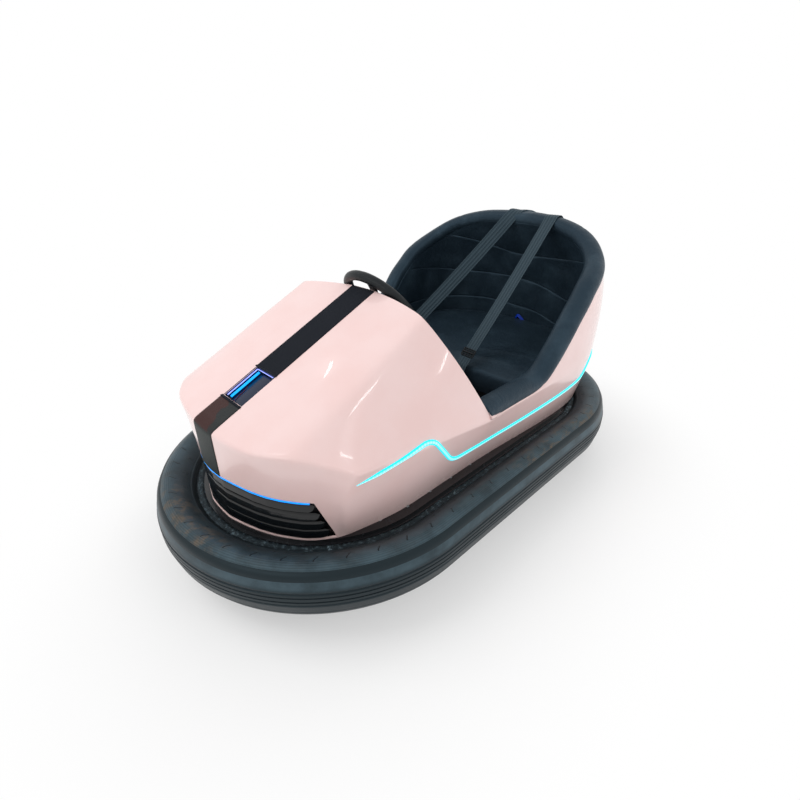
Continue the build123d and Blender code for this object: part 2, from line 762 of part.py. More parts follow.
# Bolster roll, cut off at the hood's rear edge
arch_slope = (notch_y - arch_side_y) / (arch_side_z - belt_z)
with BuildPart() as bolster_roll:
    add(roll_tube(roll_radius))
    add(side_slab([(roll_start_y - 60, belt_z - 60), (notch_y + part_gap + arch_slope * 60, belt_z - 60),
                   (notch_y + part_gap - arch_slope * 150, belt_z + 150), (roll_start_y - 60, belt_z + 150)],
                  cutter_half), mode=Mode.SUBTRACT)
save(bolster_roll.part, "bolster_roll")

# Backrest pad: the liner's wall between the cushion's level and the roll
liner_front_y = 150.0
pad_wall = plan_loft(liner_levels, liner_front_y, -pad_thick) - plan_loft(liner_levels, liner_front_y - 20, 0)
backrest_pad = (pad_wall & tub_solid(body_wall + part_gap)) - rim_cutter.part - roll_seat
save(backrest_pad, "backrest_pad")

# Seat cushion inside the liner
cushion_space = plan_loft(liner_levels, seat_front_y - 40, part_gap)
cushion_slab = side_slab([(seat_front_y, seat_base_top + seat_gap), (seat_front_y - 12, cushion_front_z - 24),
                          (seat_front_y, cushion_front_z), (seat_rear_y, cushion_rear_z),
                          (seat_rear_y + 40, cushion_rear_z), (seat_rear_y + 40, seat_base_top + seat_gap)], 420)
save(cushion_space & cushion_slab, "seat_cushion")

# Harness: two ribbons over the roll, straight to the cushion's front edge and down to the pan
# Columns are name, x on the roll, x at the cushion's edge
harness = [("left", 160.0, 115.0), ("right", -18.0, -255.0)]
strap_edge_y = 168.0
strap_edge_z = 420.0
strap_foot_back = 7.0
strap_hang = 32.0
strap_top_gap = 0.9
strap_back = roll_radius + strap_thick / 2 + strap_top_gap
strap_crown = 23.0
strap_leave = 46.0
strap_leave_drop = 14.0
strap_lap = 5.0
anchor_high = 16.0
adjuster_from_edge = 60.0
adjuster_long = 34.0
adjuster_slack = 0.6
adjuster_wall = 2.6


def roll_at(x):
    """Return y and z of the roll's middle line where it crosses over the back at a given x."""
    side_x, side_y, side_z = roll_half[-1]
    rise = hypot(roll_crown[1] - side_y, roll_crown[2] - side_z)
    turn = atan2(rise, side_x)
    fall = abs(x) / side_x
    if abs(x) < crown_bend * sin(turn):
        fall = (crown_bend / cos(turn) - (crown_bend ** 2 - x ** 2) ** 0.5) / rise
    return roll_crown[1] - fall * (roll_crown[1] - side_y), roll_crown[2] - fall * (roll_crown[2] - side_z)


def ribbon(plane, points, bends):
    """Return a strap whose middle line has the given points and bend radii in a plane."""
    with BuildPart() as strap:
        with BuildSketch(plane):
            with BuildLine():
                offset(FilletPolyline(*points, radius=bends), amount=strap_thick / 2, side=Side.BOTH)
            make_face()
        extrude(amount=strap_wide / 2, both=True)
    return strap.part


for side_word, rim_x, edge_x in harness:
    roll_y = roll_at(rim_x)[0]
    inner_y, inner_z = roll_at(max(abs(rim_x) - strap_wide / 2, 0))
    leave_y = roll_y - strap_leave
    hook_back = strap_back + inner_y - roll_y
    strap_top_z = inner_z + strap_back
    strap_leave_z = inner_z + roll_radius - strap_leave_drop
    lean = abs(edge_x - rim_x) / hypot(edge_x - rim_x, strap_edge_y - leave_y)
    edge_y = strap_edge_y - lean * strap_wide / 2
    strap_run = hypot(edge_x - rim_x, edge_y - leave_y)
    strap_dir = ((edge_x - rim_x) / strap_run, (edge_y - leave_y) / strap_run, 0)
    strap_plane = Plane((rim_x, leave_y, 0), x_dir=strap_dir, z_dir=(strap_dir[1], -strap_dir[0], 0))
    hook_plane = Plane((rim_x, roll_y, 0), x_dir=(0, -1, 0), z_dir=(-1, 0, 0))
    fall = (strap_leave_z - strap_edge_z) / strap_run
    foot_run = strap_run + strap_foot_back
    foot_z = pan_top + anchor_high + strap_thick / 2 + seat_gap
    hook = ribbon(hook_plane, [(-hook_back, inner_z - strap_hang), (-hook_back, strap_top_z),
                               (strap_crown, strap_top_z),
                               (strap_leave + strap_lap, strap_leave_z - fall * strap_lap)], [36, 24])
    run = ribbon(strap_plane, [(0, strap_leave_z), (strap_run, strap_edge_z), (foot_run, foot_z)], [14])
    save(hook + run, f"harness_strap_{side_word}")
    with BuildPart() as anchor:
        with BuildSketch(strap_plane.offset(-strap_wide / 2)):
            with Locations((foot_run, pan_top + anchor_high / 2)):
                Rectangle(26, anchor_high)
        extrude(amount=strap_wide)
    save(anchor.part, f"harness_anchor_{side_word}")
    drop = -atan2(fall, 1)
    slide_mid = (strap_run - adjuster_from_edge * cos(drop), strap_edge_z - adjuster_from_edge * sin(drop))
    with BuildPart() as adjuster:
        with BuildSketch(strap_plane.offset(-strap_wide / 2 - adjuster_wall - adjuster_slack)):
            with Locations(Location(slide_mid, degrees(drop))):
                Rectangle(adjuster_long, strap_thick + 2 * (adjuster_wall + adjuster_slack))
        extrude(amount=strap_wide + 2 * (adjuster_wall + adjuster_slack))
        with BuildSketch(strap_plane.offset(-strap_wide / 2 - adjuster_slack)):
            with Locations(Location(slide_mid, degrees(drop))):
                Rectangle(adjuster_long + 2, strap_thick + 2 * adjuster_slack)
        extrude(amount=strap_wide + 2 * adjuster_slack, mode=Mode.SUBTRACT)
    save(adjuster.part, f"harness_adjuster_{side_word}")
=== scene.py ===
"""Looks of a battery bumper car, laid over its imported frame. Metres, nose towards -Y, +Z up."""
import json
import logging
import math
from contextlib import contextmanager
from dataclasses import dataclass, field
from enum import Enum
from typing import Callable, Iterator, Optional, Sequence, Union

import bmesh
import bpy
import numpy as np
from mathutils import Matrix, Vector
from mathutils.bvhtree import BVHTree


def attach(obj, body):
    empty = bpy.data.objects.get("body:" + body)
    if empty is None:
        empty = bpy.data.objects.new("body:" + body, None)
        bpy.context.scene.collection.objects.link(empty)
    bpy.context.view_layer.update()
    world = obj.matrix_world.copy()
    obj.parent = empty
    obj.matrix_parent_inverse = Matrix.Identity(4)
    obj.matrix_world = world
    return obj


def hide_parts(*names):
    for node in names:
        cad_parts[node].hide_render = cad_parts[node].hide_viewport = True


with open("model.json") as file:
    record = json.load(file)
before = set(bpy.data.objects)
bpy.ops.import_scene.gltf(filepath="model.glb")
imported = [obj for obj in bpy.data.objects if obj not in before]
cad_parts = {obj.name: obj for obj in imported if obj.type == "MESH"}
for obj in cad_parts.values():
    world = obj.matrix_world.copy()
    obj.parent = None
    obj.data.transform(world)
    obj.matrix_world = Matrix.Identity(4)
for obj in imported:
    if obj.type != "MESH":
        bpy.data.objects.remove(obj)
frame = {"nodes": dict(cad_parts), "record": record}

LOG = logging.getLogger("bumper_car")
MM = 0.001
Colour = tuple[float, float, float]
Point = tuple[float, float, float]
UP: Point = (0.0, 0.0, 1.0)
DOWN: Point = (0.0, 0.0, -1.0)
ACROSS: Point = (1.0, 0.0, 0.0)


def operator(operation: str, swap: bool = False) -> Callable:
    """Return a method that adds one Math node.

    Args:
        operation: the Math node's operation.
        swap: True where the other value comes first.

    Returns:
        The method.
    """
    def method(self: "Wire", other: object = None) -> "Wire":
        """Return the result of the operation."""
        return self.maths(operation, other, swap)
    return method


class Wire:
    """One output socket of a node tree, with its maths written as Python expressions."""

    def __init__(self, graph: "Graph", socket: bpy.types.NodeSocket) -> None:
        """Keep the socket and the graph that it is in."""
        self.graph = graph
        self.socket = socket

    def maths(self, operation: str, other: object = None, swap: bool = False) -> "Wire":
        """Add a Math node.

        Args:
            operation: the Math node's operation.
            other: a second value or Wire, if the operation takes one.
            swap: True where the other value comes first.

        Returns:
            The node's output.
        """
        first, second = (other, self) if swap else (self, other)
        values: dict = {0: first}
        if other is not None:
            values[1] = second
        return self.graph.node("ShaderNodeMath", {"operation": operation}, values)

    __add__ = __radd__ = operator("ADD")
    __sub__, __rsub__ = operator("SUBTRACT"), operator("SUBTRACT", swap=True)
    __mul__ = __rmul__ = operator("MULTIPLY")
    __truediv__, __pow__ = operator("DIVIDE"), operator("POWER")
    fraction, size, sine = operator("FRACT"), operator("ABSOLUTE"), operator("SINE")
    most, least = operator("MAXIMUM"), operator("MINIMUM")

    def ramp(self, low: float, high: float, start: float = 0.0, end: float = 1.0) -> "Wire":
        """Return a smooth step.

        Args:
            low: the input at which the step starts.
            high: the input at which it ends.
            start: the output before the step.
            end: the output after it.

        Returns:
            The stepped value.
        """
        return self.graph.node("ShaderNodeMapRange", {"interpolation_type": "SMOOTHSTEP"},
                               {0: self, 1: low, 2: high, 3: start, 4: end})

    def band(self, middle: float, half: float, soft: float) -> "Wire":
        """Return 1 within half of the middle, falling to 0 over a soft edge."""
        return (self - middle).size().ramp(half, half + soft, 1.0, 0.0)


class Graph:
    """The node tree of one material, or of the world."""

    def __init__(self, owner: Union[bpy.types.Material, bpy.types.World]) -> None:
        """Empty the owner's node tree."""
        owner.use_nodes = True
        self.tree = owner.node_tree
        self.tree.nodes.clear()

    def node(self, kind: str, settings: Optional[dict] = None, values: Optional[dict] = None,
             output: Union[int, str] = 0) -> Wire:
        """Add a node of any type.

        Args:
            kind: the node's type name.
            settings: its properties, set first.
            values: values or Wires by socket name or number.
            output: which output is returned.

        Returns:
            The chosen output.
        """
        made = self.tree.nodes.new(kind)
        for key, value in (settings or {}).items():
            setattr(made, key, value)
        for key, value in (values or {}).items():
            socket = made.inputs[key]
            if isinstance(value, Wire):
                self.tree.links.new(value.socket, socket)
            elif isinstance(value, tuple) and len(value) == 3 and len(socket.default_value) == 4:
                socket.default_value = (*value, 1.0)
            else:
                socket.default_value = value
        return Wire(self, made.outputs[output] if len(made.outputs) else None)

    def place(self) -> Wire:
        """Return the point on the piece, in metres."""
        return self.node("ShaderNodeTexCoord", output="Object")

    def axis(self, index: int, vector: Optional[Wire] = None) -> Wire:
        """Return one coordinate of a vector, or of the point on the piece."""
        return self.node("ShaderNodeSeparateXYZ", values={0: vector or self.place()}, output=index)

    def run(self) -> tuple[Wire, Wire]:
        """Return how far the point lies along and across its strip, in metres."""
        uv = self.node("ShaderNodeUVMap", {"uv_map": "run"})
        return self.axis(0, uv), self.axis(1, uv)

    def stretched(self, scale: Point) -> Wire:
        """Return the point on the piece, scaled by axis."""
        return self.node("ShaderNodeMapping", values={"Vector": self.place(), "Scale": scale})

    def noise(self, scale: float, detail: float = 3.0, rough: float = 0.55, vector: Optional[Wire] = None) -> Wire:
        """Return a noise from 0 to 1.

        Args:
            scale: lumps per metre.
            detail: octaves.
            rough: how strong the small octaves are.
            vector: where it is read, if not at the point on the piece.

        Returns:
            The noise.
        """
        return self.node("ShaderNodeTexNoise", values={"Vector": vector or self.place(), "Scale": scale,
                                                       "Detail": detail, "Roughness": rough})

    def cells(self, scale: float) -> Wire:
        """Return the distance to the middle of the nearest cell."""
        return self.node("ShaderNodeTexVoronoi", values={"Vector": self.place(), "Scale": scale})

    def ray(self, kind: str) -> Wire:
        """Return 1 for rays of one kind, such as Camera."""
        return self.node("ShaderNodeLightPath", output=f"Is {kind} Ray")

    def near(self, index: int, middle: float, reach: float, full: float, none: float) -> Wire:
        """Return a mask round a place on one axis.

        Args:
            index: the axis.
            middle: the mask's middle, in metres.
            reach: the length that the next two are counted in.
            full: how far from the middle it starts to fade.
            none: how far from the middle it has gone.

        Returns:
            The mask.
        """
        return ((self.axis(index) - middle).size() / reach).ramp(full, none, 1.0, 0.0)

    def blend(self, factor: Union[Wire, float], first: Union[Wire, Colour], second: Union[Wire, Colour]) -> Wire:
        """Return a mix of two colours by a factor."""
        return self.node("ShaderNodeMix", {"data_type": "RGBA"}, {0: factor, 6: first, 7: second}, output=2)

    def bump(self, height: Wire, depth: float, strength: float = 1.0, under: Optional[Wire] = None) -> Wire:
        """Return a bumped normal.

        Args:
            height: the height from 0 to 1.
            depth: what 1 stands for, in metres.
            strength: the share of it that shows.
            under: another bump's normal that this one lies on.

        Returns:
            The normal.
        """
        values: dict = {"Height": height, "Distance": depth, "Strength": strength}
        if under is not None:
            values["Normal"] = under
        return self.node("ShaderNodeBump", values=values)

    def surface(self, values: dict) -> None:
        """Finish the material with one surface shader, from values or Wires by its socket names."""
        shader = self.node("ShaderNodeBsdfPrincipled", values=values)
        self.node("ShaderNodeOutputMaterial", values={"Surface": shader})


class Finish:
    """A look that can be painted as a material."""

    def paint(self, name: str) -> bpy.types.Material:
        """Return the finish as a material of the given name."""
        material = bpy.data.materials.new(name)
        self.lay(Graph(material))
        return material

    def lay(self, g: Graph) -> None:
        """Build the finish's nodes in an empty tree."""
        raise NotImplementedError


@dataclass(frozen=True)
class Gelcoat(Finish):
    """Glossy moulded body colour with faint orange peel, mottling and dust in its foot."""

    colour: Colour = (0.925, 0.665, 0.640)
    dust: Colour = (0.55, 0.42, 0.37)
    fleck: Colour = (0.95, 0.85, 0.82)
    warmth: Colour = (1.02, 1.06, 1.07)
    foot: tuple[float, float] = (0.222, 0.262)
    gloss: float = 0.16

    def lay(self, g: Graph) -> None:
        """Build the finish's nodes.

        Args:
            g: the empty node tree.
        """
        mottle = g.noise(7.0, 4.0)
        flake = g.noise(900.0, 2.0)
        foot = g.axis(2).ramp(*self.foot, 1.0, 0.0) * g.noise(34.0, 5.0, 0.7).ramp(0.38, 0.72)
        warmer = tuple(c * k for c, k in zip(self.colour, self.warmth))
        warm = g.blend(mottle.ramp(0.3, 0.7), self.colour, warmer)
        base = g.blend(flake.ramp(0.35, 0.8) * 0.10, warm, self.fleck)
        scuff = g.noise(60.0, 6.0, 0.7, g.stretched((1.0, 0.15, 1.0))).ramp(0.66, 0.74) * 0.35
        base = g.blend(foot * 0.55, base, self.dust)
        rough = scuff * 0.12 + self.gloss + foot * 0.35 + mottle * 0.04
        peel = g.bump(g.noise(240.0, 2.0), 0.0004, 0.22)
        wave = g.bump(g.noise(5.0, 2.0), 0.006, 0.14, peel)
        g.surface({"Base Color": base, "Roughness": rough, "Normal": wave, "Coat Weight": 0.45,
                   "Coat Roughness": 0.03, "Specular IOR Level": 0.4})


@dataclass(frozen=True)
class Leatherette(Finish):
    """Black coated seat fabric with a fine grain, soft creases and a bluish sheen."""

    colour: Colour = (0.014, 0.025, 0.036)
    worn: Colour = (0.036, 0.060, 0.080)
    # painted shade in the grain's pits
    pit_shade: Colour = (0.004, 0.007, 0.010)
    shine: Colour = (0.50, 0.76, 1.0)
    sheen: Colour = (0.5, 0.75, 1.0)
    wrinkle: float = 0.35

    def lay(self, g: Graph) -> None:
        """Build the finish's nodes.

        Args:
            g: the empty node tree.
        """
        grain = g.cells(1400.0)
        pores = g.noise(2600.0, 2.0)
        fold = g.noise(16.0, 5.0, 0.6)
        rub = g.noise(9.0, 6.0, 0.65).ramp(0.42, 0.75)
        base = g.blend(rub * 0.6, self.colour, self.worn)
        # painted shade: the grain's pits, the low points of its bump, are painted darker
        base = g.blend(grain.ramp(0.0, 0.5, 0.35, 0.0), base, self.pit_shade)
        small = g.bump(grain * 0.6 + pores * 0.4, 0.00035, 0.5)
        large = g.bump(fold, 0.012, self.wrinkle, small)
        g.surface({"Base Color": base, "Roughness": 0.42 - rub * 0.1 + pores * 0.06, "Normal": large,
                   "Specular IOR Level": 0.44, "Specular Tint": self.shine, "Sheen Weight": 0.03,
                   "Sheen Roughness": 0.4, "Sheen Tint": self.sheen})


@dataclass(frozen=True)
class Webbing(Finish):
    """Woven harness strap: long ribs, a herringbone weave and rubbed edges."""

    colour: Colour = (0.024, 0.040, 0.052)
    rubbed: Colour = (0.075, 0.108, 0.130)
    gap: Colour = (0.02, 0.028, 0.034)
    shine: Colour = (0.6, 0.82, 1.0)
    ribs: float = 4.0
    weft: float = 650.0
    warp: float = 900.0
    yarn: float = 2600.0
    wide: float = 0.052

    def lay(self, g: Graph) -> None:
        """Build the finish's nodes.

        Args:
            g: the empty node tree.
        """
        along, across = g.run()
        rib = ((across * (self.ribs / self.wide)).fraction() - 0.5).size() * 2.0
        weave = (along * self.weft + (across * self.warp).sine() * 0.35).sine() * 0.5 + 0.5
        yarn = (across * self.yarn).sine() * 0.5 + 0.5
        edge = (across.size() / (self.wide * 0.5)).ramp(0.86, 0.99)
        tone = g.blend(rib.ramp(0.2, 0.95) * 0.5, self.colour, self.rubbed)
        tone = g.blend(edge * 0.4 + g.noise(40.0, 5.0) * 0.18, tone, self.rubbed)
        tone = g.blend(weave * yarn * 0.35, tone, self.gap)
        small = g.bump(weave * yarn, 0.0004, 0.6)
        large = g.bump(rib.ramp(0.0, 0.8), 0.0012, 0.9, small)
        g.surface({"Base Color": tone, "Roughness": rib * 0.08 + 0.58, "Normal": large,
                   "Specular IOR Level": 0.3, "Specular Tint": self.shine, "Sheen Weight": 0.05,
                   "Sheen Roughness": 0.35})


@dataclass(frozen=True)
class CasingRubber(Finish):
    """Old tyre casing round the car: sidewall with dust and a painted sheen on its upper side, slits and scored lines
    painted dark as their shade, and residue along the bead.
    """

    colour: Colour = (0.009, 0.013, 0.015)
    # painted sheen mixed with rubber bloom: a lighter bluish tone for the casing's upper side
    sheen_and_bloom: Colour = (0.062, 0.096, 0.116)
    dirt: Colour = (0.17, 0.12, 0.075)
    residue: Colour = (0.26, 0.36, 0.41)
    # painted shade inside the slits and scored lines
    cut: Colour = (0.006, 0.007, 0.008)
    speck: Colour = (0.35, 0.40, 0.42)
    shine: Colour = (0.62, 0.86, 1.0)
    wall: tuple[float, float] = (0.026, 0.044)
    sheen_and_bloom_fade: tuple[float, float] = (0.105, 0.165)
    grimy: tuple[float, float] = (0.05, 0.09)
    bead: float = 0.206
    bead_end: tuple[float, float] = (0.242, 0.236)
    lines: float = 165.0
    upper_z: tuple[float, float] = (0.16, 0.18)
    scored: tuple = ((0.104, 0.014, 0.004), (0.196, 0.008, 0.003))
    slits: tuple = ((0.126, 0.011, 0.0), (0.163, 0.008, 0.45), (0.220, 0.011, 0.2))
    slit_pitch: float = 0.092
    slit_wide: tuple[float, float] = (0.0013, 0.0029)
    dirt_rear: tuple = ((0, 0.53, 0.05, 0.3, 1.2), (1, 0.25, 0.34, 0.4, 1.1))
    dirt_front: tuple = ((0, -0.01, 0.27, 0.4, 1.0), (1, -0.92, 0.07, 0.3, 1.0))

    def slit(self, along: Wire, across: Wire, middle: float, half: float, shift: float) -> Wire:
        """Return a row of short slanted slits.

        Args:
            along: distance along the casing.
            across: distance round its section.
            middle: the row's place on the section.
            half: half a slit's length.
            shift: where the row starts along the casing, as a share of the pitch.

        Returns:
            A mask of the slits.
        """
        pitch = self.slit_pitch
        local = ((along / pitch + shift).fraction() - 0.5) * pitch
        bend = (across - middle) * 0.42 + ((across - middle) * (math.pi / half)).sine() * 0.0016
        line = (local - bend).size().ramp(*self.slit_wide, 1.0, 0.0)
        return line * across.band(middle, half * 0.85, half * 0.3)

    def lay(self, g: Graph) -> None:
        """Build the finish's nodes.

        Args:
            g: the empty node tree.
        """
        along, across = g.run()
        skin = g.noise(11.0, 6.0, 0.62)
        fine = g.noise(260.0, 4.0, 0.7)
        wall = across.ramp(*self.wall)
        upper = g.axis(2).ramp(*self.upper_z)
        # painted sheen with bloom: the upper outer side (above upper_z) is painted lighter, fading towards the bead
        sheen_and_bloom = wall * upper * (skin.ramp(0.25, 0.7) * 0.7 + 0.3) * across.ramp(*self.sheen_and_bloom_fade, 1.0, 0.35)
        sheen_and_bloom = sheen_and_bloom * across.ramp(self.bead, self.bead - 0.03)
        base = g.blend(sheen_and_bloom, self.colour, self.sheen_and_bloom)
        rear, front = (g.near(*across_car) * g.near(*along_car)
                       for across_car, along_car in (self.dirt_rear, self.dirt_front))
        streak = g.noise(30.0, 6.0, 0.72, g.stretched((1.0, 0.6, 2.0))).ramp(0.44, 0.66)
        dirty = (rear * 0.75 + front * 0.6 + 0.05) * streak * across.ramp(*self.grimy)
        dirty = dirty * across.ramp(self.bead + 0.006, self.bead - 0.012)
        base = g.blend(dirty.least(0.8), base, self.dirt)
        lines = ((across * self.lines).fraction() - 0.5).size().ramp(0.24, 0.42)
        scored = lines * (across.band(*self.scored[0]) + across.band(*self.scored[1]))
        rows = [self.slit(along, across, *row) for row in self.slits]
        slits = rows[0].most(rows[1]).most(rows[2]) * upper
        # slits and scored lines painted dark as the shade inside them
        base = g.blend((slits + scored * 0.30).least(1.0), base, self.cut)
        stain = across.ramp(self.bead - 0.004, self.bead + 0.003) * across.ramp(*self.bead_end)
        lump = g.noise(85.0, 6.0, 0.75, g.stretched((1.0, 1.0, 2.5)))
        patches = g.noise(6.0, 3.0).ramp(0.46, 0.60)
        wet = stain * lump.ramp(0.52, 0.61) * upper * (patches * 0.7 + 0.3)
        base = g.blend(wet * 0.75, base, self.residue)
        specks = fine.ramp(0.72, 0.80) * wall.ramp(1.0, 0.0) * g.noise(9.0, 3.0).ramp(0.5, 0.62)
        base = g.blend(specks * 0.6, base, self.speck)
        rough = skin * 0.20 + 0.30 + dirty * 0.3 - wet * 0.26 - specks * 0.2
        small = g.bump(fine, 0.0006, 0.5)
        worn = g.bump(1.0 - (slits + scored * 0.2).least(1.0), 0.0018, 0.9, small)
        crust = g.bump(lump * stain, 0.005, 0.9, worn)
        g.surface({"Base Color": base, "Roughness": rough, "Normal": crust, "Specular IOR Level": 0.34,
                   "Specular Tint": self.shine})


@dataclass(frozen=True)
class Coated(Finish):
    """Painted or moulded hard surface with fine texture, dust and rubbed spots."""

    colour: Colour = (0.02, 0.02, 0.022)
    rubbed: Colour = (0.10, 0.10, 0.10)
    rough: float = 0.4
    metal: float = 0.0
    grain: float = 300.0
    depth: float = 0.0003
    wear: float = 0.3
    coat: float = 0.0
    shine: float = 0.4

    def lay(self, g: Graph) -> None:
        """Build the finish's nodes.

        Args:
            g: the empty node tree.
        """
        patch = g.noise(14.0, 6.0, 0.65)
        fine = g.noise(self.grain, 3.0)
        spots = g.noise(55.0, 5.0, 0.7).ramp(0.56, 0.72) * self.wear
        base = g.blend(spots, self.colour, self.rubbed)
        base = g.blend(patch.ramp(0.4, 0.8) * 0.25, base, tuple(c * 0.7 for c in self.colour))
        rough = patch * 0.14 + spots * 0.2 + (self.rough - 0.07)
        bump = g.bump(fine, self.depth, 0.4)
        g.surface({"Base Color": base, "Roughness": rough, "Metallic": self.metal, "Normal": bump,
                   "Specular IOR Level": self.shine, "Coat Weight": self.coat, "Coat Roughness": 0.05})


@dataclass(frozen=True)
class Felt(Finish):
    """Black flock of the hood's stripe: short fibres, lint and faint streaks."""

    colour: Colour = (0.009, 0.011, 0.016)
    fibre: Colour = (0.036, 0.041, 0.056)
    lint: Colour = (0.13, 0.14, 0.16)

    def lay(self, g: Graph) -> None:
        """Build the finish's nodes.

        Args:
            g: the empty node tree.
        """
        fibre = g.noise(1500.0, 4.0, 0.8)
        lint = g.noise(700.0, 2.0).ramp(0.68, 0.74) * 0.5
        streak = g.noise(40.0, 3.0, 0.5, g.stretched((3.0, 0.3, 1.0)))
        base = g.blend(fibre.ramp(0.45, 0.8) * 0.7, self.colour, self.fibre)
        base = g.blend(lint * streak, base, self.lint)
        g.surface({"Base Color": base, "Roughness": fibre * 0.1 + 0.85, "Sheen Weight": 0.02,
                   "Sheen Roughness": 0.6, "Normal": g.bump(fibre, 0.0012, 0.8), "Specular IOR Level": 0.1})


@dataclass(frozen=True)
class Lacquer(Finish):
    """Dark gloss of the stripe's front: a brown stain on the flat, grey-green on the fascia."""

    colour: Colour = (0.018, 0.021, 0.022)
    stain: Colour = (0.046, 0.016, 0.014)
    fascia: Colour = (0.010, 0.016, 0.015)
    grit: Colour = (0.034, 0.042, 0.044)
    front_y: tuple[float, float] = (-0.786, -0.775)
    stain_x: tuple[float, float] = (0.046, 0.052)
    stain_z: tuple[float, float] = (0.500, 0.508)
    fascia_z: tuple[float, float] = (0.502, 0.509)

    def lay(self, g: Graph) -> None:
        """Build the finish's nodes.

        Args:
            g: the empty node tree.
        """
        front = g.axis(1).ramp(*self.front_y, 1.0, 0.0)
        edge = g.axis(0) + g.noise(22.0, 5.0, 0.7) * 0.07 + (g.axis(1) + 0.76) * 0.35
        brown = edge.ramp(*self.stain_x, 1.0, 0.0) * (1.0 - g.axis(2).ramp(*self.stain_z, 1.0, 0.0))
        grit = g.noise(1300.0, 3.0, 0.7)
        base = g.blend(brown, self.colour, self.stain)
        base = g.blend(g.axis(2).ramp(*self.fascia_z, 1.0, 0.0), base, self.fascia)
        base = g.blend(grit.ramp(0.5, 0.8) * 0.35, base, self.grit)
        rough = front * 0.10 + grit * 0.15 + 0.30
        g.surface({"Base Color": base, "Roughness": rough, "Normal": g.bump(grit, 0.0005, 0.5),
                   "Specular IOR Level": 0.18})


@dataclass(frozen=True)
class Neon(Finish):
    """Lit plastic tube: a pale hot core in a coloured glow, with the ripple of its lamps."""

    glow: Colour = (0.0, 0.60, 0.70)
    core: Colour = (0.42, 1.0, 1.0)
    power: float = 1.0
    pitch: float = 90.0

    def lay(self, g: Graph) -> None:
        """Build the finish's nodes.

        Args:
            g: the empty node tree.
        """
        along, across = g.run()
        ripple = (along * (self.pitch * 2 * math.pi)).sine() * 0.5 + 0.5
        hot = across.size().ramp(0.15, 0.75, 1.0, 0.0) * (ripple * 0.45 + 0.4)
        colour = g.blend(hot, self.glow, self.core)
        g.surface({"Base Color": colour, "Roughness": ripple * 0.05 + 0.25, "Emission Color": colour,
                   "Emission Strength": self.power})


@dataclass(frozen=True)
class Backdrop(Finish):
    """Pale floor that shows white and keeps the car's shadow."""

    near: float = 0.45
    straight: float = 0.4
    shade_from: float = 0.56
    shade_to: float = 1.15

    def lay(self, g: Graph) -> None:
        """Build the finish's nodes.

        Args:
            g: the empty node tree.
        """
        base = g.blend(g.noise(3.0, 3.0), (0.93, 0.93, 0.93), (0.95, 0.95, 0.95))
        paper = g.node("ShaderNodeBsdfPrincipled", values={"Base Color": base, "Roughness": 0.9,
                                                           "Specular IOR Level": 0.1})
        white = g.node("ShaderNodeEmission", values={"Color": (1.0, 1.0, 1.0), "Strength": 1.0})
        seen = g.ray("Camera").most(g.ray("Glossy")).most(g.ray("Transmission"))
        x, y = g.axis(0), (g.axis(1).size() - self.straight).most(0.0)
        far = ((x * x + y * y) ** 0.5).ramp(self.shade_from, self.shade_to, self.near, 1.0)
        mixed = g.node("ShaderNodeMixShader", values={0: seen * far, 1: paper, 2: white})
        g.node("ShaderNodeOutputMaterial", values={"Surface": mixed})


@contextmanager
def editing(piece: bpy.types.Object) -> Iterator[bmesh.types.BMesh]:
    """Lend a piece's mesh for editing and write it back.

    Args:
        piece: the piece.

    Returns:
        The mesh, open for editing.
    """
    work = bmesh.new()
    work.from_mesh(piece.data)
    yield work
    work.to_mesh(piece.data)
    work.free()


def add_object(name: str, data: bpy.types.ID) -> bpy.types.Object:
    """Put an object with the given data into the scene."""
    made = bpy.data.objects.new(name, data)
    bpy.context.scene.collection.objects.link(made)
    return made


def open_edges(work: bmesh.types.BMesh) -> list[bmesh.types.BMEdge]:
    """Return the edges that have only one face."""
    return [edge for edge in work.edges if edge.is_boundary]


def fill_holes(work: bmesh.types.BMesh) -> None:
    """Close a mesh's open edges and turn its faces outwards."""
    bmesh.ops.holes_fill(work, edges=open_edges(work), sides=0)
    bmesh.ops.recalc_face_normals(work, faces=work.faces)


